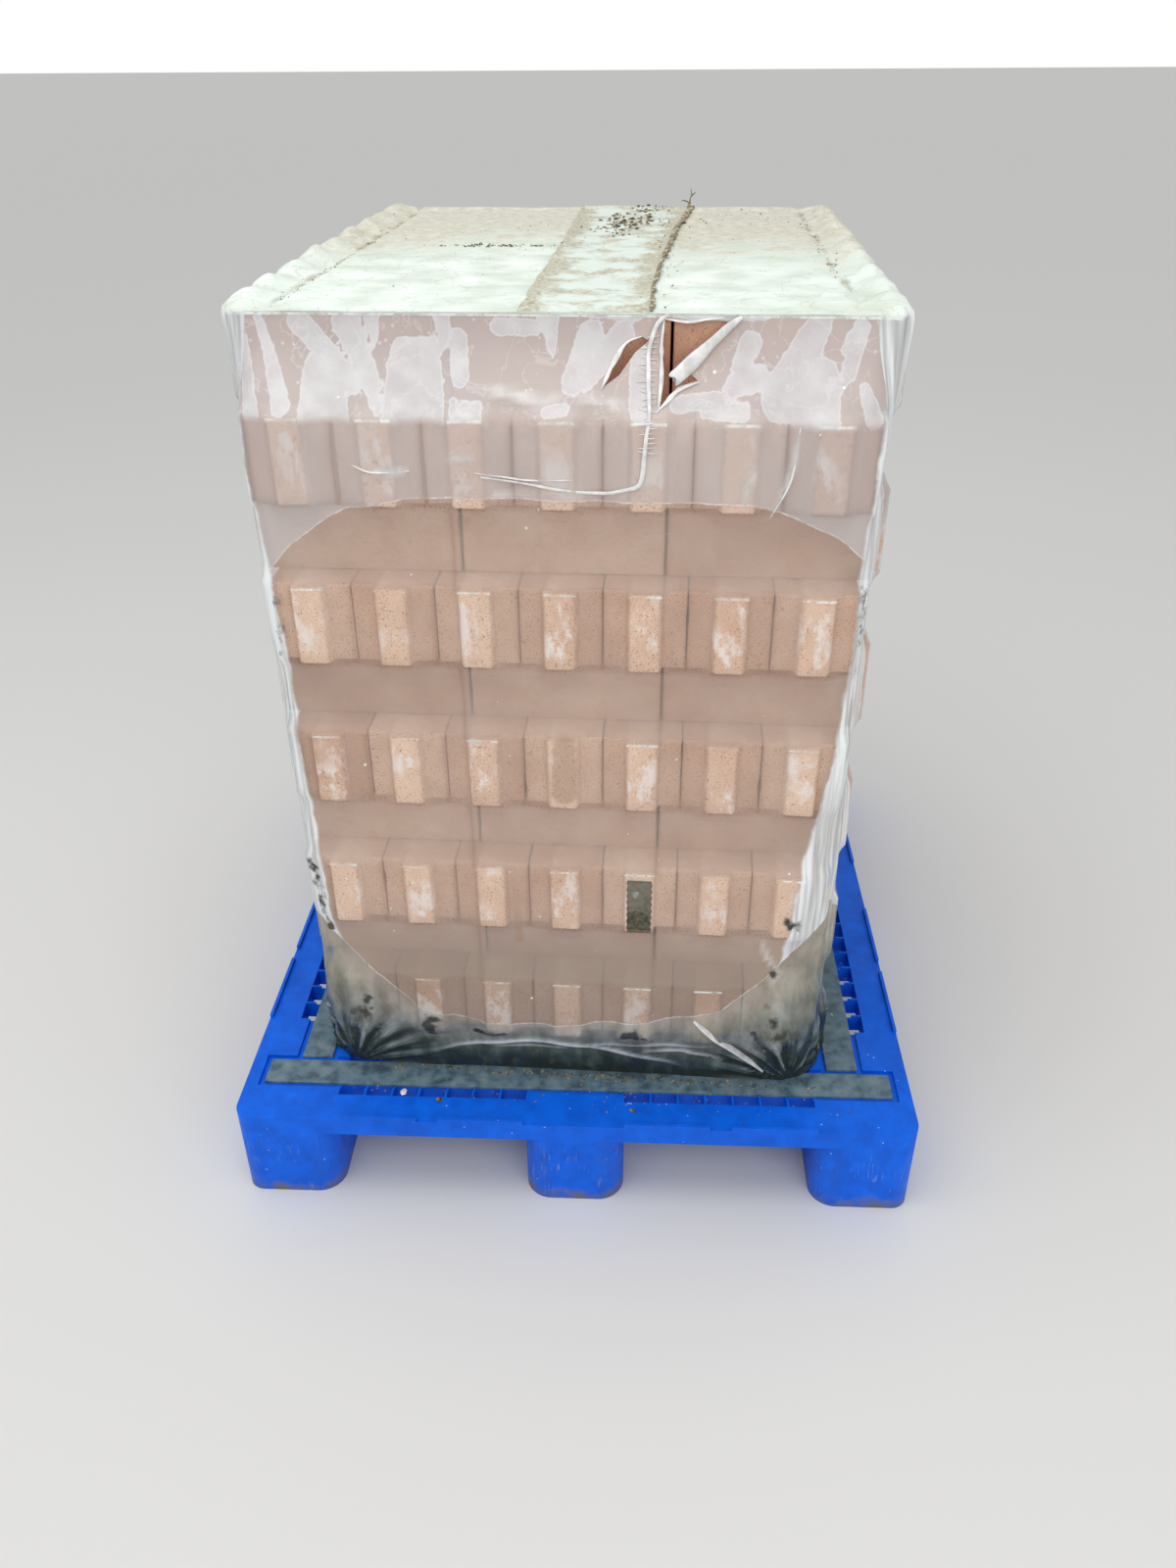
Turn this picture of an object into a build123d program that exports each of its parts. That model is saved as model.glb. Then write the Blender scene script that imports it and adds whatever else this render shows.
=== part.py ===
"""Pallet of clay bricks under a shrink hood.

Millimetres. Origin on the ground under the middle of the pallet, +Z up, the front faces -Y.
"""

import os
from math import cos, radians, sin

from build123d import *

# Pallet: outer size and the plan of its nine feet
pallet_width = 1000.0
pallet_depth = 1200.0
pallet_height = 155.0
deck_thickness = 30.0
deck_corner = 25.0
foot_width = 146.0
end_foot_depth = 211.0
middle_foot_depth = 147.0
foot_corner = 38.0
foot_wall = 18.0
foot_rib = 8.0
foot_roof = 4.0
foot_height = pallet_height - deck_thickness

# Spans between the feet, each with its slots
span_x = (pallet_width - 3 * foot_width) / 2
span_y = (pallet_depth - 2 * end_foot_depth - middle_foot_depth) / 2
span_x_start = foot_width / 2
span_y_start = middle_foot_depth / 2
slot_border = 50.0
slot_length = 95.0
slot_rib = 3.0
slots_per_span_x = 7
slots_per_span_y = 8
inner_rib = 8.0

# Raised lips along the rim of each span, with a notch half way
lip_width = 5.0
lip_height = 6.0
lip_notch = 30.0

# Grey strips lying in a track sunk into the deck
strip_inset = 73.0
strip_width = 47.0
strip_thickness = 5.0
strip_end_inset = 28.0
strip_gap = 8.0
track_margin = 8.0

# Bricks: body, tongue on one end and groove in the other
brick_length = 241.0
brick_width = 99.0
brick_height = 99.0
end_joint = 3.0
side_joint = 1.0
tongue_depth = 15.0
tongue_root = 45.0
tongue_tip = 35.5
groove_depth = 17.0
groove_mouth = 49.0
groove_floor = 39.5
length_pitch = brick_length + end_joint
width_pitch = brick_width + side_joint

# Stack: crosswise rows and front-to-back rows in turn, a little turned on the pallet
row_count = 11
cross_long = 3
cross_deep = 9
along_wide = 7
along_deep = 4
front_overhang = 46.0
load_shift_x = 4.0
load_shift_y = -9.0
load_turn = -1.7

# Shrink hood
film_thickness = 2.0
film_clearance = 0.5
film_bottom_tuck = 34.0
film_sag = 14.0
film_back_sag = 10.0
film_corner_start = 1.0
film_corner_inset = 3.0
tear_left = 104.0
tear_right = 172.0
tear_top = 8.0
tear_bottom = 78.0

os.makedirs("parts", exist_ok=True)

load_plane = Plane(
    origin=(load_shift_x, load_shift_y, pallet_height),
    x_dir=(cos(radians(load_turn)), sin(radians(load_turn)), 0),
    z_dir=(0, 0, 1),
)


def spaced(start, length, count, rib):
    """Return the centres and the size of count openings with ribs between them."""
    size = (length - (count - 1) * rib) / count
    centres = [start + size / 2 + index * (size + rib) for index in range(count)]
    return centres, size


def centred(count, pitch):
    """Return count positions at the given pitch, centred on zero."""
    return [(index - (count - 1) / 2) * pitch for index in range(count)]


# Feet as (centre x, centre y, depth)
foot_columns = [-(pallet_width - foot_width) / 2, 0.0, (pallet_width - foot_width) / 2]
foot_rows = [
    (-(pallet_depth - end_foot_depth) / 2, end_foot_depth),
    (0.0, middle_foot_depth),
    ((pallet_depth - end_foot_depth) / 2, end_foot_depth),
]
feet = [(x, y, depth) for x in foot_columns for y, depth in foot_rows]

# Slots as (centre x, centre y, width, depth): edge slots first, then the coarser inner field
slots = []
for side in (-1, 1):
    for span_side in (-1, 1):
        start = span_x_start if span_side > 0 else -span_x_start - span_x
        centres, size = spaced(start, span_x, slots_per_span_x, slot_rib)
        edge_y = side * (pallet_depth / 2 - slot_border - slot_length / 2)
        slots += [(x, edge_y, size, slot_length) for x in centres]
        start = span_y_start if span_side > 0 else -span_y_start - span_y
        centres, size = spaced(start, span_y, slots_per_span_y, slot_rib)
        edge_x = side * (pallet_width / 2 - slot_border - slot_length / 2)
        slots += [(edge_x, y, slot_length, size) for y in centres]

inner_edge_x = pallet_width / 2 - slot_border - slot_length - inner_rib
inner_start_x = span_x_start + inner_rib
inner_start_y = span_y_start + inner_rib
inner_length_x = inner_edge_x - inner_start_x
inner_length_y = span_y - 2 * inner_rib
bays_x = [(-inner_edge_x, inner_length_x, 3), (inner_start_x, inner_length_x, 3)]
bays_x.append((-span_x_start + inner_rib, 2 * (span_x_start - inner_rib), 2))
bays_y = [(-inner_start_y - inner_length_y, inner_length_y, 3), (inner_start_y, inner_length_y, 3)]
bays_y.append((-span_y_start + inner_rib, 2 * (span_y_start - inner_rib), 2))
for start_x, length_x, count_x in bays_x:
    for start_y, length_y, count_y in bays_y:
        if count_x == 2 and count_y == 2:
            continue
        centres_x, size_x = spaced(start_x, length_x, count_x, inner_rib)
        centres_y, size_y = spaced(start_y, length_y, count_y, inner_rib)
        slots += [(x, y, size_x, size_y) for x in centres_x for y in centres_y]

# Lips as (centre x, centre y, width, depth)
lips = []
lip_x = (span_x - lip_notch) / 2
lip_y = (span_y - lip_notch) / 2
for side in (-1, 1):
    for span_side in (-1, 1):
        for part_side in (-1, 1):
            middle_x = span_side * (span_x_start + span_x / 2) + part_side * (lip_notch + lip_x) / 2
            middle_y = span_side * (span_y_start + span_y / 2) + part_side * (lip_notch + lip_y) / 2
            lips.append((middle_x, side * (pallet_depth - lip_width) / 2, lip_x, lip_width))
            lips.append((side * (pallet_width - lip_width) / 2, middle_y, lip_width, lip_y))

# Strips as name: (centre x, centre y, width, depth)
end_strip_y = pallet_depth / 2 - strip_inset - strip_width / 2
side_strip_x = pallet_width / 2 - strip_inset - strip_width / 2
end_strip_length = pallet_width - 2 * strip_end_inset
side_strip_length = 2 * (end_strip_y - strip_width / 2 - strip_gap)
strips = {
    "front_strip": (0.0, -end_strip_y, end_strip_length, strip_width),
    "back_strip": (0.0, end_strip_y, end_strip_length, strip_width),
    "left_strip": (-side_strip_x, 0.0, strip_width, side_strip_length),
    "right_strip": (side_strip_x, 0.0, strip_width, side_strip_length),
}
track_width = strip_width + 2 * track_margin

with BuildPart() as pallet:
    with BuildSketch(Plane.XY.offset(foot_height)):
        RectangleRounded(pallet_width, pallet_depth, deck_corner)
    extrude(amount=deck_thickness)
    with BuildSketch(Plane.XY.offset(pallet_height)):
        for x, y, width, depth in lips:
            with Locations((x, y)):
                Rectangle(width, depth)
    extrude(amount=lip_height)
    with BuildSketch(Plane.XY):
        for x, y, depth in feet:
            with Locations((x, y)):
                RectangleRounded(foot_width, depth, foot_corner)
        for side_x in (-1, 1):
            for side_y in (-1, 1):
                corner_x = side_x * (pallet_width - foot_width / 2) / 2
                corner_y = side_y * (pallet_depth - foot_width / 2) / 2
                with Locations((corner_x, corner_y)):
                    RectangleRounded(foot_width / 2, foot_width / 2, deck_corner)
    extrude(amount=foot_height)
    with BuildSketch(Plane.XY):
        for x, y, depth in feet:
            with Locations((x, y)):
                Rectangle(foot_width - 2 * foot_wall, depth - 2 * foot_wall)
                Rectangle(foot_width, foot_rib, mode=Mode.SUBTRACT)
                Rectangle(foot_rib, depth, mode=Mode.SUBTRACT)
    extrude(amount=foot_height - foot_roof, mode=Mode.SUBTRACT)
    with BuildSketch(Plane.XY.offset(pallet_height)):
        with Locations((0, -end_strip_y), (0, end_strip_y)):
            Rectangle(end_strip_length + 2 * track_margin, track_width)
        with Locations((-side_strip_x, 0), (side_strip_x, 0)):
            Rectangle(track_width, 2 * end_strip_y)
    extrude(amount=-strip_thickness, mode=Mode.SUBTRACT)
    with BuildSketch(Plane.XY.offset(pallet_height)):
        for x, y, width, depth in slots:
            with Locations((x, y)):
                Rectangle(width, depth)
    extrude(amount=-deck_thickness, mode=Mode.SUBTRACT)
pallet.part.label = "plastic_pallet"
export_step(pallet.part, "parts/plastic_pallet.step")

for name, (x, y, width, depth) in strips.items():
    with BuildPart() as strip:
        with BuildSketch(Plane.XY.offset(pallet_height - strip_thickness)):
            with Locations((x, y)):
                Rectangle(width, depth)
        extrude(amount=strip_thickness)
    strip.part.label = name
    export_step(strip.part, f"parts/{name}.step")

# Brick seen from above, tongue towards -Y
half_width = brick_width / 2
half_length = brick_length / 2
with BuildSketch() as brick_outline:
    with BuildLine():
        Polyline(
            (-half_width, -half_length),
            (-tongue_root / 2, -half_length),
            (-tongue_tip / 2, -half_length - tongue_depth),
            (tongue_tip / 2, -half_length - tongue_depth),
            (tongue_root / 2, -half_length),
            (half_width, -half_length),
            (half_width, half_length),
            (groove_mouth / 2, half_length),
            (groove_floor / 2, half_length - groove_depth),
            (-groove_floor / 2, half_length - groove_depth),
            (-groove_mouth / 2, half_length),
            (-half_width, half_length),
            close=True,
        )
    make_face()

# Crosswise rows: (x, y, turn), with the outer tongues facing out
cross_x = centred(cross_long, length_pitch)
cross_y = centred(cross_deep, width_pitch)
cross_turns = {cross_x[0]: -90, cross_x[1]: -90, cross_x[2]: 90}
cross_spots = [(x, y, cross_turns[x]) for x in cross_x for y in cross_y]
cross_ring = [spot for spot in cross_spots if spot[0] != cross_x[1] or spot[1] in (cross_y[0], cross_y[-1])]
cross_core = (0.0, 0.0, brick_length, (cross_deep - 2) * width_pitch - side_joint)

# Front-to-back rows: the front half faces forwards, the back half backwards
stack_front = -(cross_deep * width_pitch - side_joint) / 2 - front_overhang
along_x = centred(along_wide, width_pitch)
along_y = [stack_front + half_length + index * length_pitch for index in range(along_deep)]
along_spots = [(x, y, 0 if y < along_y[2] else 180) for x in along_x for y in along_y]
along_ring = [
    spot
    for spot in along_spots
    if spot[0] in (along_x[0], along_x[-1]) or spot[1] in (along_y[0], along_y[-1])
]
along_core = (
    0.0,
    (along_y[1] + along_y[2]) / 2,
    (along_wide - 2) * width_pitch - side_joint,
    2 * brick_length + end_joint,
)

for row in range(1, row_count + 1):
    if row % 2 == 0:
        spots = along_ring
        core = along_core
    elif row == row_count:
        spots = cross_spots
        core = None
    else:
        spots = cross_ring
        core = cross_core
    with BuildPart() as brick_row:
        with BuildSketch(load_plane.offset((row - 1) * brick_height)):
            for x, y, turn in spots:
                with Locations(Location((x, y, 0), (0, 0, turn))):
                    add(brick_outline.sketch)
            if core:
                with Locations((core[0], core[1])):
                    Rectangle(core[2], core[3])
        extrude(amount=brick_height)
    brick_row.part.label = f"brick_row_{row:02d}"
    export_step(brick_row.part, f"parts/brick_row_{row:02d}.step")

# Hood: inner outlines as (height, half width, front y, back y, corner x), from the top down.
# It lies on every tongue and is drawn in over the rows that stand back.
stack_height = row_count * brick_height
cross_front = -(cross_deep * width_pitch - side_joint) / 2
film_side = cross_x[2] + half_length + tongue_depth + film_clearance
film_front = stack_front - tongue_depth - film_clearance
film_back = along_y[-1] + half_length + tongue_depth + film_clearance
corner_y = (cross_deep - 1) / 2 * width_pitch + tongue_root / 2 + film_corner_start
corner_x = (along_wide * width_pitch - side_joint) / 2 - film_corner_inset
rim_x = cross_x[2] + half_length + 2.5
rim_front = cross_front - film_clearance
film_sections = [
    (stack_height + film_clearance, film_side, rim_front, -rim_front, rim_x),
    (
        stack_height - brick_height / 2,
        film_side,
        (rim_front + film_front) / 2 + film_sag,
        (film_back - rim_front) / 2 - film_back_sag / 2,
        (rim_x + corner_x) / 2,
    ),
]
for row in range(row_count - 1, 0, -1):
    edge = row * brick_height + film_clearance if row == row_count - 1 else row * brick_height
    film_sections.append((edge, film_side, film_front, film_back, corner_x))
    middle = (row - 0.5) * brick_height
    if row == 1:
        continue
    if row % 2 == 0:
        film_sections.append((middle, film_side - film_sag, film_front, film_back, corner_x))
    else:
        film_sections.append(
            (middle, film_side, film_front + film_sag, film_back - film_back_sag, corner_x)
        )
film_sections.append(
    (0.0, film_side, film_front + film_bottom_tuck, film_back - film_bottom_tuck / 2, corner_x + 5.5)
)

with BuildPart() as hood:
    for grow in (film_thickness, 0.0):
        for index, (height, half_x, front, back, end_x) in enumerate(film_sections):
            top = grow if index == 0 else 0.0
            side_x = half_x + grow
            turn_x = end_x + grow / 2
            turn_y = corner_y + grow / 2
            with BuildSketch(load_plane.offset(height + top)):
                with BuildLine():
                    Polyline(
                        (-turn_x, front - grow),
                        (turn_x, front - grow),
                        (side_x, -turn_y),
                        (side_x, turn_y),
                        (turn_x, back + grow),
                        (-turn_x, back + grow),
                        (-side_x, turn_y),
                        (-side_x, -turn_y),
                        close=True,
                    )
                make_face()
        loft(ruled=True, mode=Mode.ADD if grow else Mode.SUBTRACT)
    with BuildSketch(Plane(load_plane.origin, x_dir=load_plane.x_dir, z_dir=-load_plane.y_dir)):
        with BuildLine():
            Polyline(
                (tear_left, stack_height - tear_top),
                (tear_right, stack_height - tear_top - 4),
                (tear_right - 22, stack_height - tear_bottom),
                (tear_left - 6, stack_height - tear_bottom + 12),
                close=True,
            )
        make_face()
    extrude(amount=-film_front + 100, mode=Mode.SUBTRACT)
hood.part.label = "shrink_hood"
export_step(hood.part, "parts/shrink_hood.step")
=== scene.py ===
import itertools
import logging
import math
from dataclasses import dataclass, field
from enum import Enum
from functools import partial
from typing import Any, Callable, Optional, Sequence

import bmesh
import bpy
import numpy as np
from mathutils import Matrix, Vector


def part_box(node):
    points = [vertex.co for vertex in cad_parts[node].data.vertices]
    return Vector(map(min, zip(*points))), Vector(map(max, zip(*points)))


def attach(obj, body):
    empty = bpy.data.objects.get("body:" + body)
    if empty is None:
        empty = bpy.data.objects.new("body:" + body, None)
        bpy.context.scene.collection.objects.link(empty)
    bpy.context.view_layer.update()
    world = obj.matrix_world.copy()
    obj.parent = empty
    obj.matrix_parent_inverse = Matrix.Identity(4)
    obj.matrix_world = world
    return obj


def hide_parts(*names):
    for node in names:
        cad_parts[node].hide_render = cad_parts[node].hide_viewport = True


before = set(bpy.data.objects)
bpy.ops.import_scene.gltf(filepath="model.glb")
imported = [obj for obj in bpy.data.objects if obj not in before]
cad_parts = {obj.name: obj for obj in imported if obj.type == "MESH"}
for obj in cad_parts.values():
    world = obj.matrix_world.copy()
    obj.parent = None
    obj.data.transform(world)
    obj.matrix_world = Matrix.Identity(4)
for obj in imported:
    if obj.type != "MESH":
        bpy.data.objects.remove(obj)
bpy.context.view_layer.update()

log = logging.getLogger("brick_pallet")

MM = 0.001
FAR_OUT = -50 * MM
Array = np.ndarray
Values = Array | float
Points = Sequence[tuple[float, ...]]
Socket = bpy.types.NodeSocket
Object = bpy.types.Object
Tree = bpy.types.NodeTree
Material = bpy.types.Material
Adder = Callable[..., Socket]
Inputs = dict[str, Any]
Pair = tuple[float, float]
Triple = tuple[float, float, float]


class Slot(Enum):
    """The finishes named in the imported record."""

    CLAY = "clay"
    PLASTIC = "blue_plastic"
    RUBBER = "grey_rubber"
    FILM = "film"


class Course(Enum):
    """How the bricks of one row lie."""

    CROSS = "across the pallet"
    ALONG = "front to back"


def colour(code: str) -> tuple[float, float, float, float]:
    """Turn an sRGB hex code into linear RGBA.

    Args:
        code: six hex digits after a hash sign.

    Returns:
        Linear red, green, blue and an alpha of 1.
    """
    shares = [int(code[start:start + 2], 16) / 255 for start in (1, 3, 5)]
    linear = [s / 12.92 if s <= 0.04045 else ((s + 0.055) / 1.055) ** 2.4 for s in shares]
    return (linear[0], linear[1], linear[2], 1.0)


# Node kinds by short name: type name, inputs in the order they are given, output handed back, settings
KINDS: dict[str, tuple[str, tuple, Any, dict[str, Any]]] = {
    "stored": ("ShaderNodeAttribute", (), "Fac", {}),
    "noise": ("ShaderNodeTexNoise", ("Vector", "Scale", "Detail", "Roughness"), 0, {}),
    "cells": ("ShaderNodeTexVoronoi", ("Vector", "Scale"), 0, {}),
    "scaled": ("ShaderNodeMapping", (0, 3), 0, {}),
    "span": ("ShaderNodeMapRange", (0, 1, 2, 3, 4), 0, {}),
    "blend": ("ShaderNodeMix", (0, 2, 3), 0, {}),
    "tint": ("ShaderNodeMix", (0, 6, 7), 2, {"data_type": "RGBA"}),
    "ramp": ("ShaderNodeValToRGB", (0,), 0, {}),
    "bump": ("ShaderNodeBump", ("Strength", "Distance", "Height"), 0, {}),
    "named": ("GeometryNodeInputNamedAttribute", ("Name",), 0, {}),
    "real": ("GeometryNodeRealizeInstances", ("Geometry",), 0, {}),
    "painted": ("GeometryNodeSetMaterial", ("Geometry", "Material"), 0, {}),
}


def put(tree: Tree, kind: str, *values: Any, links: Optional[dict] = None, out: Any = None,
        ramp: Sequence[tuple[float, str]] = (), **settings: Any) -> Socket:
    """Add one node with its settings and links.

    Args:
        tree: the tree that gets the node.
        kind: a short name from KINDS, a Math operation in capitals or a node's type name.
        values: a constant or an output socket for each usual input; a hex code stands for its colour
            and "@name" for a geometry tree's input or, in a finish, the field stored under that name.
        links: the same for other inputs, by name or index.
        out: name or index of the output to hand back, if not the usual one.
        ramp: places and hex colours of a colour ramp's stops.
        settings: the node's own properties.

    Returns:
        The chosen output socket.
    """
    plain = ("ShaderNodeMath", (0, 1, 2), 0, {"operation": kind}) if kind.isupper() else (kind, (), 0, {})
    full, inputs, usual, fixed = KINDS.get(kind, plain)
    made = tree.nodes.new(full)
    for name, value in {**fixed, **settings}.items():
        setattr(made, name, value)
    if ramp:
        stops = made.color_ramp.elements
        while len(stops) < len(ramp):
            stops.new(1.0)
        for stop, (place, code) in zip(stops, ramp):
            stop.position, stop.color = place, colour(code)
    for name, value in [*zip(inputs, values), *(links or {}).items()]:
        if isinstance(value, str) and value[0] == "@":
            given = tree.nodes.get("Group Input")
            value = given.outputs[value[1:]] if given else put(tree, "stored", attribute_name=value[1:])
        if isinstance(value, Socket):
            tree.links.new(value, made.inputs[name])
        else:
            made.inputs[name].default_value = colour(value) if str(value)[0] == "#" else value
    return made.outputs[usual if out is None else out] if len(made.outputs) else made.inputs[0]


def value_noise(x: Values, y: Values, seed: int) -> Array:
    """Return smooth random values on a unit grid.

    Args:
        x: first coordinates, in grid steps.
        y: second coordinates, in grid steps.
        seed: which random grid.

    Returns:
        Values from -1 to 1.
    """
    size = 64
    grid = np.random.default_rng(seed).uniform(-1, 1, (size, size))
    x, y = np.broadcast_arrays(x, y)
    column, row = np.floor(x).astype(int), np.floor(y).astype(int)
    fx, fy = x - column, y - row
    fx, fy = fx * fx * (3 - 2 * fx), fy * fy * (3 - 2 * fy)
    low = grid[column % size, row % size] * (1 - fx) + grid[(column + 1) % size, row % size] * fx
    high = grid[column % size, (row + 1) % size] * (1 - fx) + grid[(column + 1) % size, (row + 1) % size] * fx
    return low * (1 - fy) + high * fy


def smooth(low: float, high: float, x: Values) -> Array:
    """Return 0 below low and 1 above high, with a soft step between."""
    t = np.clip((x - low) / (high - low), 0, 1)
    return t * t * (3 - 2 * t)


def brick_wave(x: Values) -> Array:
    """Return 1 at the middle of each brick's width, falling softly to 0 at its joints."""
    return 0.5 + 0.5 * np.cos(2 * np.pi * x / BRICK.width_pitch)


def hump(x: Values, width: float) -> Array:
    """Return 1 at zero, falling softly to 0 on both sides."""
    return np.exp(-(x / width) ** 2)


def from_stretch(start: Sequence[float], end: Sequence[float], across: Array, up: Array) -> tuple[Array, Array]:
    """Measure places on one side of the hood against a straight stretch of line.

    Args:
        start: the stretch's start in millimetres.
        end: its end in millimetres.
        across: each place's distance along the side, in metres.
        up: its height in metres.

    Returns:
        The share of the stretch passed at each place, and the place's distance from it in metres.
    """
    first, way = np.array(start) * MM, (np.array(end) - np.array(start)) * MM
    share = ((across - first[0]) * way[0] + (up - first[1]) * way[1]) / max(way @ way, 1e-12)
    share = np.clip(share, 0, 1)
    return share, np.hypot(across - first[0] - share * way[0], up - first[1] - share * way[1])


@dataclass(frozen=True)
class LoadPose:
    """Where the stack stands on the pallet: u to the right, v to the back, w up from the deck."""

    shift_x: float = 4 * MM
    shift_y: float = -9 * MM
    turn: float = math.radians(-1.7)
    deck: float = round(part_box("brick_row_01")[0].z, 5)

    def matrix(self) -> Matrix:
        """Return the transform from the load's axes to the frame."""
        return Matrix.Translation((self.shift_x, self.shift_y, self.deck)) @ Matrix.Rotation(self.turn, 4, "Z")

    def place(self, points: Array) -> Array:
        """Move points from the load's axes to the frame."""
        matrix = np.array(self.matrix())
        return np.asarray(points, float) @ matrix[:3, :3].T + matrix[:3, 3]


POSE = LoadPose()


@dataclass(frozen=True)
class BrickSize:
    """One extruded clay brick with a tongue on one end and a groove in the other."""

    length: float = 241 * MM
    width: float = 99 * MM
    height: float = 99 * MM
    tongue_depth: float = 15 * MM
    tongue_root: float = 45 * MM
    tongue_tip: float = 35.5 * MM
    groove_depth: float = 17 * MM
    groove_mouth: float = 49 * MM
    groove_floor: float = 39.5 * MM
    length_pitch: float = 244 * MM
    width_pitch: float = 100 * MM
    edge: float = 3.2 * MM

    def outline(self) -> list[Pair]:
        """Return the brick's outline from above, tongue towards -v."""
        side, end = self.width / 2, self.length / 2
        front = [(side, -end), (self.tongue_root / 2, -end), (self.tongue_tip / 2, -end - self.tongue_depth)]
        back = [(side, end), (self.groove_mouth / 2, end), (self.groove_floor / 2, end - self.groove_depth)]
        left_front, left_back = [(-u, v) for u, v in front], [(-u, v) for u, v in reversed(back)]
        return [*left_front, *reversed(front), *back, *left_back]


BRICK = BrickSize()


@dataclass(frozen=True)
class Finish:
    """A finish made of nodes that read places in the object's own axes and fields stored on its mesh."""

    name: str

    def skin(self, add: Adder, where: Socket) -> Inputs:
        """Return what the surface's inputs get, by name.

        Args:
            add: puts a node into the finish's tree.
            where: the place in the object's axes.

        Returns:
            A constant or an output socket for each input.
        """
        raise NotImplementedError

    def material(self) -> Material:
        """Build the material round its skin."""
        made = bpy.data.materials.new(self.name)
        made.use_nodes = True
        made.node_tree.nodes.clear()
        add = partial(put, made.node_tree)
        surface = add("ShaderNodeBsdfPrincipled", links=self.skin(add, add("ShaderNodeTexCoord", out="Object")))
        add("ShaderNodeOutputMaterial", links={"Surface": surface})
        return made


def made_of(finish: type[Finish]) -> Any:
    """Return a dataclass field that starts as a finish's material."""
    return field(default_factory=lambda: finish().material())


@dataclass(frozen=True)
class PlainGround(Finish):
    """Even pale studio floor: matt, without pattern."""

    name: str = "studio_floor"
    tone: str = "#dcdcda"

    def skin(self, add: Adder, where: Socket) -> Inputs:
        """Give one matt tone."""
        return {"Base Color": self.tone, "Roughness": 0.9}


@dataclass(frozen=True)
class FiredClay(Finish):
    """Extruded terracotta: matt, sandy and speckled, with lime bloom on the worn tongue ends."""

    name: str = "fired_clay"
    body: str = "#cda48b"
    pale: str = "#e8cab3"
    deep: str = "#b08269"
    bloom: str = "#f1e9e4"
    grit: float = 1.6 * MM
    cloud: float = 45 * MM

    def skin(self, add: Adder, where: Socket) -> Inputs:
        """Build the clay with a shade for each brick, grit, pits and bloom."""
        tip = add("stored", attribute_name="tip")
        mixed = add("ADD", "@shade", add("noise", where, 1 / self.cloud, 3.0))
        lifted = add("ADD", mixed, add("MULTIPLY", tip, 0.42))
        tone = add("span", lifted, 0.25, 1.6)
        base = add("ramp", tone, ramp=[(0.0, self.deep), (0.5, self.body), (1.0, self.pale)])
        grit = add("noise", where, 1 / self.grit, 2.0)
        speckled = add("tint", add("span", grit, 0.58, 0.7), base, "#8d5a40")
        spots = add("span", add("noise", where, 1 / (5 * MM), 1.0), 0.68, 0.74, 0.0, 0.5)
        streak = add("noise", add("scaled", where, (1.0, 1.0, 0.6)), 1 / (24 * MM), 7.0, 0.72)
        gathered = add("ADD", streak, add("MULTIPLY", "@middle", 0.13))
        where_some = add("span", add("noise", where, 1 / (110 * MM), 1.0), 0.38, 0.5)
        on_tip = add("MULTIPLY", add("span", gathered, 0.575, 0.68), tip)
        amount = add("MULTIPLY", add("MULTIPLY", on_tip, where_some), 0.9)
        paint = add("tint", amount, add("tint", spots, speckled, "#6f5140"), self.bloom)
        pits = add("cells", where, 1 / (7 * MM))
        relief = add("ADD", add("span", pits, 0.0, 0.22), grit)
        bump = add("bump", 0.35, 0.8 * MM, relief)
        return {"Base Color": paint, "Roughness": 0.9, "Specular IOR Level": 0.25, "Normal": bump}


@dataclass(frozen=True)
class MouldedPlastic(Finish):
    """Blue injection-moulded polypropylene: satin, scuffed pale low on the feet, dusty on the deck."""

    name: str = "moulded_polypropylene"
    body: str = "#0058d2"
    bright: str = "#0068ee"
    scuff: str = "#7f93b8"
    soil: str = "#6d675c"

    def skin(self, add: Adder, where: Socket) -> Inputs:
        """Build the plastic with dust, scratches and soil by height."""
        height = add("ShaderNodeSeparateXYZ", links={0: where}, out="Z")
        blotch = add("noise", where, 1 / (28 * MM), 6.0)
        edge_soil = add("MULTIPLY", add("span", height, 55 * MM, 0.0), blotch)
        scrape = add("noise", add("scaled", where, (1.0, 1.0, 0.12)), 1 / (3 * MM), 3.0)
        patch = add("noise", where, 1 / (60 * MM), 2.0)
        scuffed = add("MULTIPLY", add("span", scrape, 0.57, 0.68), add("span", patch, 0.48, 0.62))
        on_foot = add("MULTIPLY", scuffed, add("span", height, 125 * MM, 60 * MM))
        tone = add("ramp", blotch, ramp=[(0.3, self.body), (0.7, self.bright)])
        rubbed = add("tint", add("MULTIPLY", on_foot, 0.8), tone, self.scuff)
        specks = add("span", add("cells", where, 1 / (24 * MM)), 0.05, 0.03)
        dusted = add("tint", specks, rubbed, "#c9d2dd")
        dirty = add("tint", add("span", edge_soil, 0.3, 0.62), dusted, self.soil)
        bump = add("bump", 0.12, 0.3 * MM, add("noise", where, 1 / (2.5 * MM), 2.0))
        rough = add("span", patch, 0.3, 0.7, 0.38, 0.55)
        return {"Base Color": dirty, "Roughness": rough, "IOR": 1.49, "Specular IOR Level": 0.2, "Normal": bump}


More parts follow.
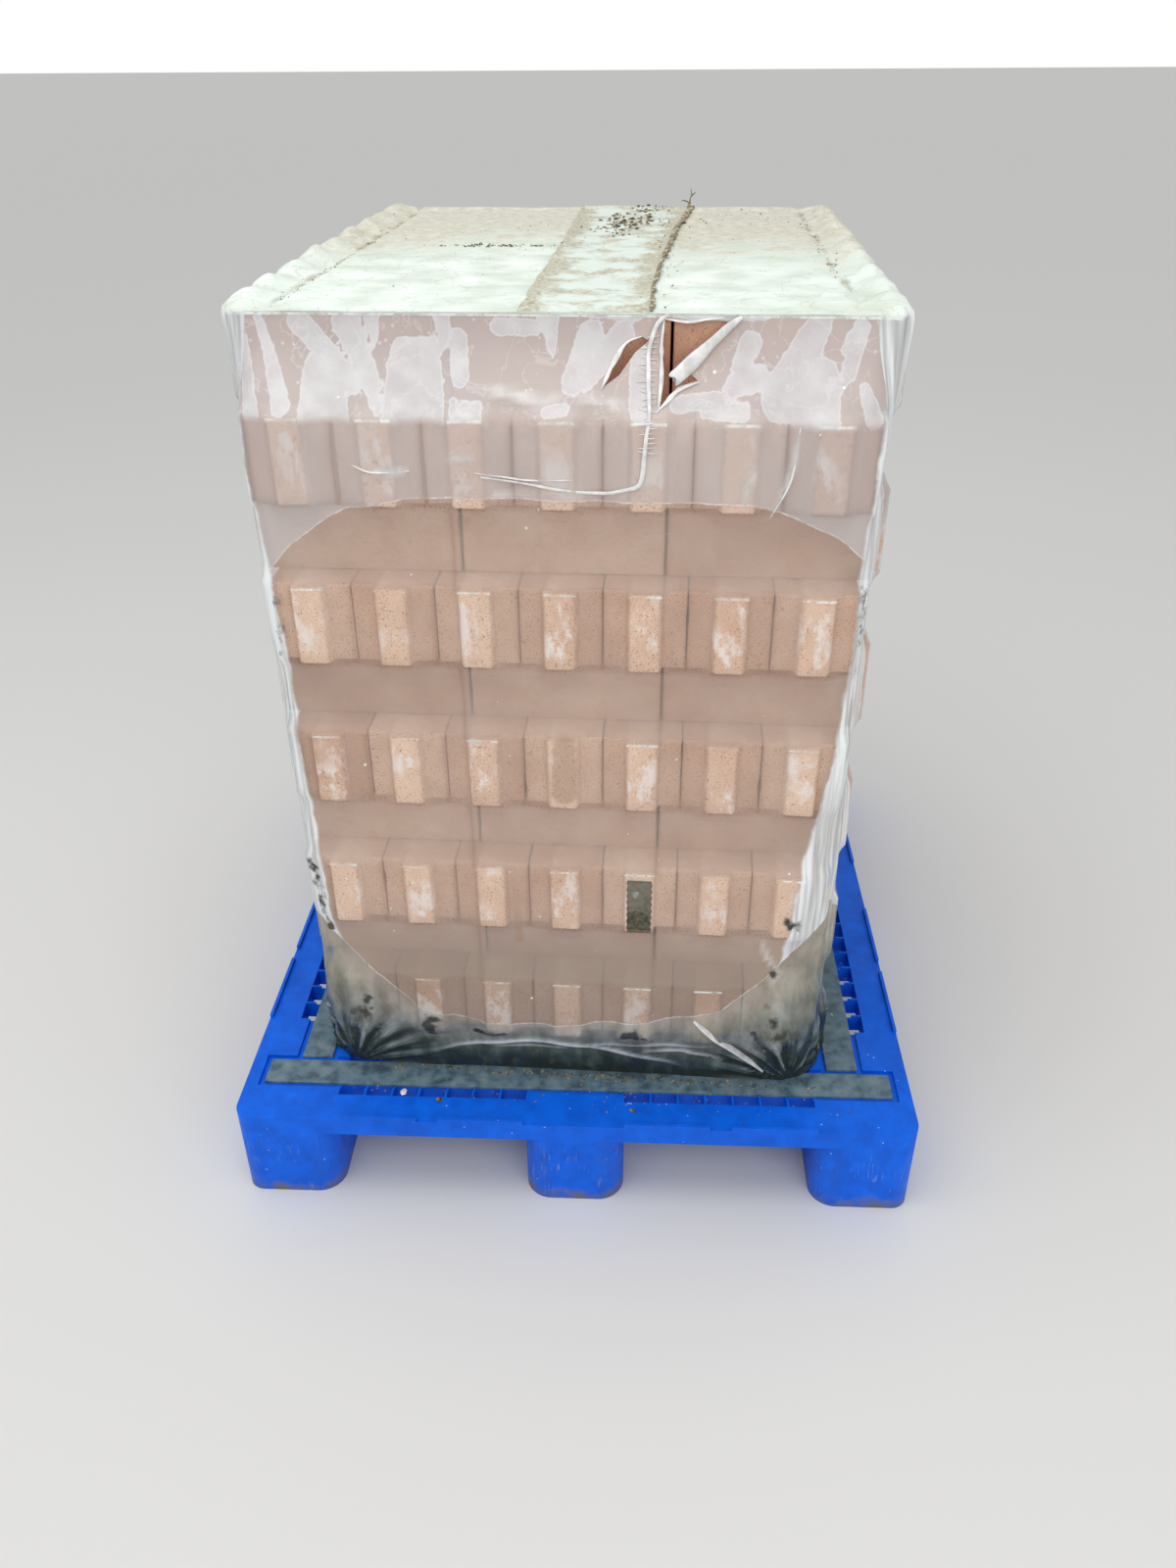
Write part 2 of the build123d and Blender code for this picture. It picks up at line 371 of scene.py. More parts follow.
@dataclass(frozen=True)
class WornRubber(Finish):
    """Dark grey anti-slip rubber strip: matt, bleached in patches, with damp marks and dust."""

    name: str = "worn_rubber"
    body: str = "#54717f"
    pale: str = "#7d8b92"
    damp: str = "#3e5361"

    def skin(self, add: Adder, where: Socket) -> Inputs:
        """Build the rubber with damp patches and fine dust."""
        broad = add("noise", where, 1 / (22 * MM), 6.0)
        tone = add("ramp", broad, ramp=[(0.35, self.damp), (0.48, self.body), (0.75, self.pale)])
        fine = add("noise", where, 1 / (1.5 * MM), 3.0)
        paint = add("tint", add("span", fine, 0.6, 0.75, 0.0, 0.45), tone, "#a3a79c")
        bump = add("bump", 0.3, 0.4 * MM, fine)
        rough = add("span", broad, 0.35, 0.6, 0.45, 0.8)
        return {"Base Color": paint, "Roughness": rough, "Normal": bump}


@dataclass(frozen=True)
class ShrunkFilm(Finish):
    """Heat-shrunk polyethylene: clear where it touches, milky where doubled, green-grey low down."""

    name: str = "shrunk_polyethylene"
    milk: str = "#d3cccb"
    white: str = "#dcdbdc"
    haze: str = "#d8c7ba"
    clear: str = "#d8cfcc"
    # Painted shade in the soft valleys along the brick joints behind the film
    valley: str = "#8d7566"
    rust: str = "#9c7150"
    lid_pale: str = "#e4efe6"
    lid_soil: str = "#d3d1c0"
    grime: str = "#7b877f"
    algae: str = "#27302a"
    side_end: float = 445.5 * MM

    def skin(self, add: Adder, where: Socket) -> Inputs:
        """Build the film from the fields stored on its mesh."""
        # Patterns that several parts share
        laid = add("ShaderNodeUVMap", uv_map="film")
        gap, on_top, crease = (add("stored", attribute_name=name) for name in ("gap", "lid", "crease"))
        lid = add("span", on_top, 0.8, 0.95)
        cloudy = add("noise", where, 1 / (60 * MM), 6.0)
        wander = add("noise", where, 1 / (34 * MM), 4.0)
        nudge = add("span", wander, 0.3, 0.7, -1.8 * MM, 1.8 * MM)
        ragged = add("noise", where, 1 / (9 * MM), 3.0)
        small = add("span", ragged, 0.3, 0.7, -1.3 * MM, 1.1 * MM)
        wet = add("noise", where, 1 / (55 * MM), 5.0, links={"Distortion": 0.6})
        tide = add("span", add("ABSOLUTE", add("SUBTRACT", wet, 0.5)), 0.012, 0.004)
        # Bright line along the top rim: partly whitish crumpled film, partly painted highlight
        rim_line = add("MULTIPLY", add("span", on_top, 0.35, 0.5), add("span", ragged, 0.36, 0.5, 0.35, 1.0))

        # Where the film is doubled, dirty, unsealed or folded
        doubled = add("span", add("ADD", "@upper", nudge), -0.4 * MM, 0.8 * MM)
        hem_place = add("ADD", "@lower", nudge)
        hem = add("span", hem_place, -0.5 * MM, 1 * MM)
        patch_place = add("ADD", "@milky", small)
        patch = add("span", patch_place, -0.3 * MM, 0.5 * MM)
        rim_of_patch = add("span", add("ABSOLUTE", patch_place), 1.4 * MM, 0.2 * MM)
        bubble = add("cells", where, 1 / (11 * MM))
        bubbles = add("MULTIPLY", add("span", bubble, 0.2, 0.17), add("span", wander, 0.5, 0.56))
        streak = add("noise", add("scaled", laid, (1.0, 0.06, 1.0)), 1 / (10 * MM), 3.0)
        corner_place = add("ADD", "@corner", add("span", wander, 0.3, 0.7, -3 * MM, 3 * MM))
        folded = add("span", corner_place, -2 * MM, 3 * MM)

        # Painted shade along the joints of the bricks behind and painted highlight on their tongues' upper arrises,
        # from places in the load's own axes
        at_load = add("ShaderNodeMapping",
                      links={"Vector": where, "Location": (POSE.shift_x, POSE.shift_y, POSE.deck),
                             "Rotation": (0.0, 0.0, POSE.turn)}, vector_type="TEXTURE")
        u, v, w = add("ShaderNodeSeparateXYZ", links={0: at_load}).node.outputs
        beside = add("LESS_THAN", add("ABSOLUTE", v), self.side_end)
        even = add("GREATER_THAN", add("MODULO", w, 2 * BRICK.height), BRICK.height)
        ends = add("ABSOLUTE", add("SUBTRACT", even, beside))
        half_pitch = add("blend", ends, BRICK.length_pitch / 2, BRICK.width_pitch / 2)
        first_joint = add("blend", ends, add("blend", beside, BRICK.length_pitch / 2, -9 * MM), BRICK.width_pitch / 2)
        from_first = add("SUBTRACT", add("blend", beside, u, v), first_joint)
        wrapped = add("WRAP", from_first, half_pitch, add("MULTIPLY", half_pitch, -1.0))
        from_joint = add("ABSOLUTE", wrapped)
        # Painted shade: a soft dark valley either side of each brick joint, fading out under the top band
        valley = add("span", from_joint, 10 * MM, 0.0)
        valley = add("MULTIPLY", add("MULTIPLY", valley, valley), add("span", w, 10 * BRICK.height, 980 * MM))
        tongue = add("MULTIPLY", ends, add("span", from_joint, 29 * MM, 32 * MM))
        # Painted highlight along the upper arris of each tongue, broken up by noise
        under_top = add("WRAP", add("ADD", w, 1.8 * MM), BRICK.height / 2, -BRICK.height / 2)
        lit_edge = add("span", add("ABSOLUTE", under_top), 2.6 * MM, 1.0 * MM)
        glint_breakup = add("MULTIPLY", add("span", ragged, 0.34, 0.5, 0.2, 0.85),
                        add("span", cloudy, 0.42, 0.56, 0.35, 1.0))
        glint = add("MULTIPLY", add("MULTIPLY", tongue, lit_edge), glint_breakup)
        fleck = add("cells", where, 1 / (36 * MM))
        flecks = add("MULTIPLY", add("span", fleck, 0.06, 0.045), add("span", ragged, 0.5, 0.53))

        # How much the film covers
        near = add("span", gap, 0.0, 14 * MM, 0.1, 0.3)
        base = add("ADD", near, add("span", gap, 14 * MM, 50 * MM, 0.0, 0.1))
        # The painted joint shade also makes the film a little more covering
        base = add("ADD", base, add("MULTIPLY", valley, 0.16))
        misty = add("span", cloudy, 0.35, 0.65, 0.0, 0.08)
        down = add("ADD", base, add("span", "@grimy", 0.0, 1.0, misty, 0.24))
        over = add("ADD", base, add("span", gap, 0.0, 12 * MM, 0.34, 0.3))
        milky_cover = add("span", wander, 0.35, 0.65, 0.68, 0.82)
        in_band = add("blend", add("MAXIMUM", patch, bubbles), add("span", gap, 0.0, 30 * MM, 0.57, 0.62),
                      milky_cover)
        outlines = add("MAXIMUM", add("MULTIPLY", rim_of_patch, 0.7), add("MULTIPLY", tide, 0.4))
        banded = add("blend", "@band", add("blend", doubled, down, over), add("blend", outlines, in_band, 0.9))
        with_folds = add("blend", folded, banded, add("span", streak, 0.36, 0.62, 0.64, 0.9))
        with_hem = add("blend", hem, with_folds, add("span", "@lowness", 0.15, 1.0, 0.95, 0.48))
        # Painted highlights along the lower edge of the doubled film and the upper edge of the hem
        upper_line = add("span", add("ABSOLUTE", add("ADD", "@upper", nudge)), 1.5 * MM, 0.3 * MM)
        lower_line = add("span", add("ABSOLUTE", hem_place), 1.7 * MM, 0.3 * MM)
        lines = add("MULTIPLY", add("MAXIMUM", upper_line, lower_line), add("span", ragged, 0.35, 0.6, 0.25, 0.75))
        # Painted highlights on the arrises, with the white flecks, kept off the hem
        bright_marks = add("MULTIPLY", add("MAXIMUM", glint, flecks), add("SUBTRACT", 1.0, hem))
        marks = add("MAXIMUM", add("MULTIPLY", lines, add("SUBTRACT", 1.0, folded)), bright_marks)
        marks = add("MAXIMUM", marks, rim_line)
        creased = add("blend", add("MAXIMUM", crease, marks), with_hem, 0.92)
        rot = add("noise", where, 1 / (14 * MM), 6.0)
        stain_place = add("ADD", "@stain", add("span", rot, 0.3, 0.7, -9 * MM, 9 * MM))
        stained = add("span", stain_place, -3 * MM, 5 * MM)
        drip = add("span", add("ADD", "@drip", small), -3 * MM, 2 * MM, 0.0, 0.5)
        alpha = add("blend", lid, add("blend", stained, add("blend", drip, creased, 0.75), 0.86), 0.97)

        # Colour of the top
        soil_place = add("ADD", "@soil", add("span", cloudy, 0.3, 0.7, -160 * MM, 160 * MM))
        fine = add("noise", where, 1 / (16 * MM), 8.0, 0.62)
        soil_tone = add("ramp", fine, ramp=[(0.3, "#c4c0ab"), (0.5, self.lid_soil), (0.66, "#e0dfd2")])
        pale_tone = add("ramp", cloudy, ramp=[(0.35, "#d3dccf"), (0.55, self.lid_pale), (0.7, "#f2f8f2")])
        groove_place = add("ADD", "@groove", add("span", cloudy, 0.3, 0.7, -8 * MM, 4 * MM))
        plain_lid = add("tint", add("span", soil_place, -90 * MM, 130 * MM), pale_tone, soil_tone)
        scribbled = add("tint", add("MULTIPLY", tide, 0.3), plain_lid, "#a3a892")
        lid_tone = add("tint", add("span", groove_place, 0.0, 6 * MM, 0.0, 0.6), scribbled, "#8f8867")

        # Colour of the sides
        mottle = add("noise", add("scaled", laid, (1.0, 0.5, 1.0)), 1 / (24 * MM), 6.0)
        level = add("ADD", "@lowness", add("span", mottle, 0.3, 0.7, -0.22, 0.22))
        # Streaks along the corner fans and the pleats' ridges are painted lighter and their valleys darker: painted
        # light and shade
        radial = add("ShaderNodeCombineXYZ", links={"X": "@fan", "Y": add("MULTIPLY", w, 0.12)})
        rays = add("noise", radial, 1 / (7 * MM), 4.0)
        fanned = add("MULTIPLY", add("span", rays, 0.3, 0.7, -0.5, 0.5), "@fanned")
        pleat_level = add("ADD", add("ADD", level, fanned), add("MULTIPLY", "@pleat", 0.3))
        hem_tone = add("ramp", pleat_level,
                       ramp=[(0.05, "#28322d"), (0.3, "#46534c"), (0.62, self.grime), (1.0, "#b3b8b0")])
        veiled = add("tint", doubled, add("tint", "@grimy", self.haze, "#a5998e"), self.milk)
        # Painted joint shade darkens the film's tone
        shaded = add("tint", add("MULTIPLY", valley, 0.6), veiled, self.valley)
        side_tone = add("tint", "@band", shaded, self.clear)
        band_tone = add("tint", add("MULTIPLY", add("MAXIMUM", patch, rim_of_patch), "@band"), side_tone, self.white)
        # Corner folds: milky streaked film, tinted cool as a painted reflection of the sky
        fold_tone = add("tint", folded, band_tone, add("ramp", streak, ramp=[(0.36, "#d0d8da"), (0.6, "#f2f6f8")]))
        with_hem_tone = add("tint", hem, fold_tone, hem_tone)
        # Creases and marks painted pale: whitened folds and flecks, with painted highlights of arrises, arch edges
        # and rim
        bright = add("tint", add("MAXIMUM", crease, marks), with_hem_tone,
                     add("ramp", mottle, ramp=[(0.35, "#c4cdc6"), (0.55, "#f0f3f0")]))
        spotted = add("tint", stained, add("tint", drip, bright, self.rust), self.algae)
        paint = add("tint", lid, spotted, lid_tone)

        # Fine relief
        crinkle = add("noise", where, 1 / (8 * MM), 5.0, links={"Distortion": 0.8})
        relief = add("ADD", crinkle, add("MULTIPLY", streak, 0.6))
        bump = add("bump", 0.35, 1.0 * MM, relief)
        return {"Base Color": paint, "Roughness": add("span", lid, 0.0, 1.0, 0.27, 0.75), "IOR": 1.5, "Alpha": alpha,
                "Normal": bump}


@dataclass(frozen=True)
class WeldedFilm(Finish):
    """Doubled and rolled polyethylene: milk white, nearly opaque, softly creased."""

    name: str = "rolled_polyethylene"
    milk: str = "#f3f3f2"
    shade: str = "#dcdddc"
    cover: float = 0.88

    def skin(self, add: Adder, where: Socket) -> Inputs:
        """Build the white film of seams, rolls and ribbons."""
        crease = add("noise", where, 1 / (13 * MM), 3.0)
        paint = add("ramp", crease, ramp=[(0.35, self.shade), (0.6, self.milk)])
        alpha = add("span", crease, 0.3, 0.6, self.cover - 0.12, self.cover)
        bump = add("bump", 0.3, 1 * MM, crease)
        return {"Base Color": paint, "Roughness": 0.35, "IOR": 1.5, "Alpha": alpha, "Normal": bump}


@dataclass(frozen=True)
class FoldedFilm(Finish):
    """Doubled polyethylene lying on the top: pale green-white, with dirt settled in broad patches."""

    name: str = "folded_polyethylene"
    pale: str = "#d9e4dc"
    soil: str = "#b8b199"
    dark: str = "#928a71"

    def skin(self, add: Adder, where: Socket) -> Inputs:
        """Build the band's film with settled dirt, thicker towards its edges."""
        edge = add("span", "@near_edge", 4 * MM, 36 * MM, 0.2, -0.01)
        settled_dirt = add("ADD", add("noise", where, 1 / (48 * MM), 6.0, 0.6), edge)
        fine = add("noise", where, 1 / (5 * MM), 6.0)
        tone = add("ramp", fine, ramp=[(0.34, self.dark), (0.5, self.soil), (0.64, "#d0ccb8")])
        paint = add("tint", add("span", settled_dirt, 0.46, 0.62, 0.0, 0.85), self.pale, tone)
        bump = add("bump", 0.5, 1.2 * MM, fine)
        return {"Base Color": paint, "Roughness": 0.8, "Normal": bump}


@dataclass(frozen=True)
class DirtyWater(Finish):
    """Algae water dried between film and brick: dark olive, mottled, darkest along its outline, glossy."""

    name: str = "dirty_water"
    rim: str = "#1f2119"
    dark: str = "#383a2c"
    light: str = "#5d5c47"

    def skin(self, add: Adder, where: Socket) -> Inputs:
        """Build the dried water with its dark outline."""
        cloud = add("noise", where, 1 / (6 * MM), 5.0)
        place = add("ADD", "@from_edge", add("span", cloud, 0.3, 0.7, -1.2 * MM, 1.2 * MM))
        edge = add("span", place, 1.4 * MM, 3.0 * MM, 1.0, 0.0)
        paint = add("tint", edge, add("ramp", cloud, ramp=[(0.38, self.dark), (0.62, self.light)]), self.rim)
        bump = add("bump", 0.4, 0.4 * MM, cloud)
        return {"Base Color": paint, "Roughness": 0.35, "IOR": 1.4, "Normal": bump}


@dataclass(frozen=True)
class LeafLitter(Finish):
    """Dry leaf crumbs, moss and grit caught on the film."""

    name: str = "leaf_litter"
    dark: str = "#4a3f30"
    light: str = "#a59579"

    def skin(self, add: Adder, where: Socket) -> Inputs:
        """Build the mixed browns of dry litter."""
        mixed = add("noise", where, 1 / (9 * MM), 2.0)
        paint = add("ramp", mixed, ramp=[(0.38, self.dark), (0.5, "#7c6c4e"), (0.64, self.light)])
        return {"Base Color": paint, "Roughness": 0.95}


def linked(name: str, data: Any) -> Object:
    """Make an object for some data and link it to the scene."""
    made = bpy.data.objects.new(name, data)
    bpy.context.scene.collection.objects.link(made)
    return made


def mesh_object(name: str, vertices: Array, faces: Sequence[Sequence[int]] = (), material: Optional[Material] = None,
                soft: bool = True, edges: Sequence[tuple[int, int]] = ()) -> Object:
    """Make a mesh piece at the origin.

    Args:
        name: the piece's name.
        vertices: places in metres.
        faces: vertex numbers of each face.
        material: its finish.
        soft: whether its faces are shaded smooth.
        edges: vertex numbers of each loose edge.

    Returns:
        The linked object.
    """
    mesh = bpy.data.meshes.new(name)
    mesh.from_pydata([tuple(map(float, v)) for v in vertices], edges, [tuple(map(int, f)) for f in faces])
    mesh.polygons.foreach_set("use_smooth", [soft] * len(mesh.polygons))
    if material:
        mesh.materials.append(material)
    return linked(name, mesh)


def quads(rows: int, columns: int, closed: bool = False, first: int = 0) -> list[tuple[int, int, int, int]]:
    """Return the four-sided faces of a grid of points.

    Args:
        rows: how many rows of points.
        columns: how many points in a row.
        closed: whether each row is a ring.
        first: the number of the grid's first point.

    Returns:
        Vertex numbers of each face.
    """
    return [(first + row * columns + column, first + row * columns + (column + 1) % columns,
             first + (row + 1) * columns + (column + 1) % columns, first + (row + 1) * columns + column)
            for row in range(rows - 1) for column in range(columns if closed else columns - 1)]


def store(piece: Object, name: str, values: Any) -> None:
    """Store a number or a vector for each point of a piece's mesh."""
    values = np.asarray(values, np.float32)
    vector = values.ndim == 2
    stored = piece.data.attributes.new(name, "FLOAT_VECTOR" if vector else "FLOAT", "POINT")
    stored.data.foreach_set("vector" if vector else "value", values.ravel())


def finish_piece(piece: Object, replaced: Sequence[str] = (), on_load: bool = True) -> Object:
    """Give a piece its body and the nodes it stands for, and report it.

    Args:
        piece: the piece.
        replaced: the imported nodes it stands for.
        on_load: whether it was built in the load's axes and moves with them.

    Returns:
        The piece.
    """
    if on_load:
        piece.data.transform(POSE.matrix())
    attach(piece, "root")
    if replaced:
        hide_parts(*replaced)
    log.info("%s: %d faces, stands for %s", piece.name, len(piece.data.polygons), list(replaced) or "nothing")
    return piece


def settled(carrier: Object, name: str) -> Object:
    """Turn a piece with a live modifier into a plain mesh.

    Args:
        carrier: the object that holds the modifier.
        name: the plain piece's name.

    Returns:
        The plain piece.
    """
    bpy.context.view_layer.update()
    evaluated = carrier.evaluated_get(bpy.context.evaluated_depsgraph_get())
    mesh = bpy.data.meshes.new_from_object(evaluated)
    mesh.name = name
    bpy.data.objects.remove(carrier)
    return linked(name, mesh)


def add_tree(carrier: Object, tree: Tree, inputs: dict[str, Any]) -> None:
    """Put a node tree on an object and set its named inputs by their identifiers."""
    modifier = carrier.modifiers.new(tree.name, "NODES")
    modifier.node_group = tree
    identifiers = {item.name: item.identifier for item in tree.interface.items_tree
                   if item.item_type == "SOCKET" and item.in_out == "INPUT"}
    for name, value in inputs.items():
        modifier[identifiers[name]] = value


def new_tree(name: str, inputs: dict[str, str]) -> Tree:
    """Start a geometry tree.

    Args:
        name: the tree's name.
        inputs: the socket type of each named input besides the geometry.

    Returns:
        The tree with its input node.
    """
    tree = bpy.data.node_groups.new(name, "GeometryNodeTree")
    tree.interface.new_socket("Geometry", in_out="OUTPUT", socket_type="NodeSocketGeometry")
    for label, kind in {"Geometry": "Geometry", **inputs}.items():
        tree.interface.new_socket(label, in_out="INPUT", socket_type="NodeSocket" + kind)
    tree.nodes.new("NodeGroupInput")
    return tree


def end_tree(tree: Tree, geometry: Socket, finish: str) -> Tree:
    """End a geometry tree with real instances in the finish that one of its inputs gives, and return it."""
    painted = put(tree, "painted", put(tree, "real", geometry), finish)
    put(tree, "NodeGroupOutput", links={"Geometry": painted})
    return tree


@dataclass
class BrickStack:
    """Eleven rows of tongued bricks, crosswise and front to back in turn."""

    rows: int = 11
    cross_long: int = 3
    cross_deep: int = 9
    along_wide: int = 7
    along_deep: int = 4
    front_overhang: float = 46 * MM
    corner_points: int = 3
    levels: int = 6
    chip: float = 2.2 * MM
    clay: Material = made_of(FiredClay)

    @property
    def front(self) -> float:
        """The plane of the front shoulders of the front-to-back rows."""
        return -(self.cross_deep * BRICK.width_pitch - 1 * MM) / 2 - self.front_overhang

    def course(self, row: int) -> Course:
        """Return how row number row lies, counted from the deck."""
        return Course.ALONG if row % 2 == 0 else Course.CROSS

    def spots(self, row: int) -> list[Triple]:
        """Return the centre and turn of each visible brick of a row."""
        def centred(count: int, pitch: float) -> list[float]:
            """Return evenly spaced places round the middle."""
            return [(index - (count - 1) / 2) * pitch for index in range(count)]

        if self.course(row) is Course.CROSS:
            columns = centred(self.cross_long, BRICK.length_pitch)
            depths = centred(self.cross_deep, BRICK.width_pitch)
            turns = {columns[0]: -90.0, columns[1]: -90.0, columns[2]: 90.0}
            spots = [(x, y, turns[x]) for x in columns for y in depths]
            if row == self.rows:
                return spots
            return [s for s in spots if s[0] != columns[1] or s[1] in (depths[0], depths[-1])]
        columns = centred(self.along_wide, BRICK.width_pitch)
        first = self.front + BRICK.length / 2
        depths = [first + index * BRICK.length_pitch for index in range(self.along_deep)]
        spots = [(x, y, 0.0 if y < depths[2] else 180.0) for x in columns for y in depths]
        return [s for s in spots if s[0] in (columns[0], columns[-1]) or s[1] in (depths[0], depths[-1])]

    def core(self, row: int) -> tuple[float, float, float, float]:
        """Return centre and size of the plain core behind a row's outer bricks."""
        gap = 1 * MM
        if self.course(row) is Course.CROSS:
            return 0.0, 0.0, BRICK.length, (self.cross_deep - 2) * BRICK.width_pitch - gap
        middle = self.front + 1.5 * BRICK.length_pitch + BRICK.length / 2
        return 0.0, middle, (self.along_wide - 2) * BRICK.width_pitch - gap, BRICK.length + BRICK.length_pitch

    def rounded_outline(self) -> tuple[Array, Array, Array]:
        """Return points, outward normals and tongue-end marks of the brick's softened outline."""
        corners = np.array(BRICK.outline())
        tips = {2, 3}
        points, marks = [], []
        for index, corner in enumerate(corners):
            before = corners[index - 1] - corner
            after = corners[(index + 1) % len(corners)] - corner
            reach = min(BRICK.edge, 0.3 * np.linalg.norm(before), 0.3 * np.linalg.norm(after))
            start = corner + before / np.linalg.norm(before) * reach
            end = corner + after / np.linalg.norm(after) * reach
            for step in np.linspace(0, 1, self.corner_points):
                points.append((1 - step) ** 2 * start + 2 * step * (1 - step) * corner + step ** 2 * end)
                marks.append(1.0 if index in tips else 0.0)
        points = np.array(points)
        along = np.roll(points, -1, axis=0) - np.roll(points, 1, axis=0)
        normals = np.stack([along[:, 1], -along[:, 0]], -1)
        normals /= np.linalg.norm(normals, axis=1, keepdims=True)
        return points, normals, np.array(marks)

    def brick(self) -> Object:
        """Build one brick with soft arrises and enough points to chip."""
        points, normals, marks = self.rounded_outline()
        edge, height = BRICK.edge * 0.7, BRICK.height
        steps = [(0.0, edge), (edge * 0.3, edge * 0.3), (edge, 0.0)]
        between = [(edge + (height - 2 * edge) * i / self.levels, 0.0) for i in range(1, self.levels)]
        steps += between + [(height - z, inset) for z, inset in reversed(steps)]
        count = len(points)
        vertices = [np.column_stack([points - normals * inset, np.full(count, z)]) for z, inset in steps]
        ends = [tuple(reversed(range(count))), tuple(range((len(steps) - 1) * count, len(steps) * count))]
        made = mesh_object("brick_pattern", np.concatenate(vertices), quads(len(steps), count, True) + ends)
        store(made, "tip", np.tile(marks, len(steps)))
        store(made, "middle", np.repeat([math.sin(math.pi * z / height) for z, _ in steps], count))
        return made

    def tree(self) -> Tree:
        """Build the tree that sets a brick at each spot, chips its arrises and adds the core."""
        tree = new_tree("brick_row", {"Brick": "Object", "Chip Depth": "Float", "Core Size": "Vector",
                                      "Core Place": "Vector", "Has Core": "Bool", "Clay": "Material"})
        add = partial(put, tree)
        source = add("GeometryNodeObjectInfo", links={"Object": "@Brick"}, out="Geometry")
        rotation = add("ShaderNodeCombineXYZ", links={"Z": add("named", "turn", data_type="FLOAT")})
        placed = add("GeometryNodeInstanceOnPoints",
                     links={"Points": "@Geometry", "Instance": source, "Rotation": rotation})
        noise = add("noise", add("GeometryNodeInputPosition"), 1 / (24 * MM), 2.0)
        depth = add("MULTIPLY", add("span", noise, 0.56, 0.74), "@Chip Depth")
        shift = add("ShaderNodeVectorMath", operation="SCALE",
                    links={0: add("GeometryNodeInputNormal"), "Scale": add("MULTIPLY", depth, -1.0)})
        chipped = add("GeometryNodeSetPosition", links={"Geometry": add("real", placed), "Offset": shift})
        core = add("GeometryNodeMeshCube", links={"Size": "@Core Size"})
        moved = add("GeometryNodeTransform", links={"Geometry": core, "Translation": "@Core Place"})
        kept = add("GeometryNodeSwitch", links={"Switch": "@Has Core", "True": moved}, input_type="GEOMETRY")
        joined = add("GeometryNodeJoinGeometry", links={0: kept})
        tree.links.new(chipped, joined.node.inputs[0])
        return end_tree(tree, joined, "@Clay")

    def build(self) -> None:
        """Build every row, one piece each."""
        pattern = self.brick()
        tree = self.tree()
        chance = np.random.default_rng(7)
        for row in range(1, self.rows + 1):
            spots = self.spots(row)
            base = (row - 1) * BRICK.height
            name = f"bricks_{row:02d}"
            carrier = mesh_object(name + "_spots", [(x, y, base) for x, y, _ in spots])
            store(carrier, "turn", [math.radians(t) for _, _, t in spots])
            # The top row is painted darker: partly its weathered bare clay, partly painted shade from the film over
            # it
            top_row_wear_and_painted_shade = 0.6 if row == self.rows else 0.0
            store(carrier, "shade", chance.uniform(0.2, 0.8, len(spots)) - top_row_wear_and_painted_shade)
            x, y, wide, deep = self.core(row)
            add_tree(carrier, tree, {
                "Brick": pattern,
                "Chip Depth": self.chip,
                "Core Size": (wide, deep, BRICK.height - 2 * MM),
                "Core Place": (x, y, base + BRICK.height / 2),
                "Has Core": row < self.rows,
                "Clay": self.clay,
            })
            finish_piece(settled(carrier, name), [f"brick_row_{row:02d}"])
        bpy.data.objects.remove(pattern)


@dataclass
class PlasticPallet:
    """The nine-footed pallet and the grey strips in its deck."""

    edge: float = 1.2 * MM
    plastic: Material = made_of(MouldedPlastic)
    rubber: Material = made_of(WornRubber)

    def softened(self, node: str, name: str, width: float, material: Material) -> Object:
        """Copy a node, merge it and round its edges.

        Args:
            node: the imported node.
            name: the new piece's name.
            width: the rounding.
            material: the new piece's finish.

        Returns:
            The rounded copy.
        """
        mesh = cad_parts[node].data.copy()
        mesh.name = name
        work = bmesh.new()
        work.from_mesh(mesh)
        bmesh.ops.remove_doubles(work, verts=work.verts, dist=0.02 * MM)
        bmesh.ops.dissolve_limit(work, angle_limit=math.radians(1.0), verts=work.verts, edges=work.edges)
        work.to_mesh(mesh)
        work.free()
        mesh.materials.clear()
        mesh.materials.append(material)
        made = linked(name + "_sharp", mesh)
        bevel = made.modifiers.new("edge", "BEVEL")
        bevel.width = width
        bevel.segments = 2
        bevel.limit_method = "ANGLE"
        bevel.angle_limit = math.radians(40)
        bevel.harden_normals = True
        return settled(made, name)

    def slot_walls(self) -> None:
        """Wall off each row of slots under the outer edge of its strip, as the deck's lengthwise ribs do."""
        ring = [(-2.0, 125.4), (2.0, 125.4), (2.0, 148.6), (1.3, 149.5), (-1.3, 149.5), (-2.0, 148.6)]
        count = len(ring)
        vertices: list[Triple] = []
        faces: list[tuple[int, ...]] = []
        for turned, inset, start, length in ((False, 524.0, 72.0, 283.0), (True, 424.0, 72.5, 317.5)):
            for side, first in itertools.product((-1, 1), (start, -start - length)):
                base = len(vertices)
                for along, (across, height) in itertools.product((first, first + length), ring):
                    out = side * inset + across
                    vertices.append((-out, along, height) if turned else (along, out, height))
                near, far = range(base, base + count), range(base + count, base + 2 * count)
                faces += [*quads(2, count, True, base), tuple(reversed(near)), tuple(far)]
        walls = mesh_object("slot_walls", np.array(vertices) * MM, faces, self.plastic, soft=False)
        finish_piece(walls, on_load=False)

    def build(self) -> None:
        """Build the pallet and its four strips."""
        pallet = self.softened("plastic_pallet", "pallet", self.edge, self.plastic)
        finish_piece(pallet, ["plastic_pallet"], on_load=False)
        self.slot_walls()
        for side in ("front", "back", "left", "right"):
            strip = self.softened(f"{side}_strip", f"{side}_rubber_strip", 0.8 * MM, self.rubber)
            finish_piece(strip, [f"{side}_strip"], on_load=False)


@dataclass(frozen=True)
class Capsule:
    """A tapered round-ended stroke on one side of the hood, in millimetres."""

    start: Pair
    end: Pair
    first: float
    last: float

    def depth(self, across: Array, up: Array) -> Array:
        """Return how deep each place lies inside the stroke, in metres, negative outside."""
        share, away = from_stretch(self.start, self.end, across, up)
        return (self.first + (self.last - self.first) * share) * MM - away


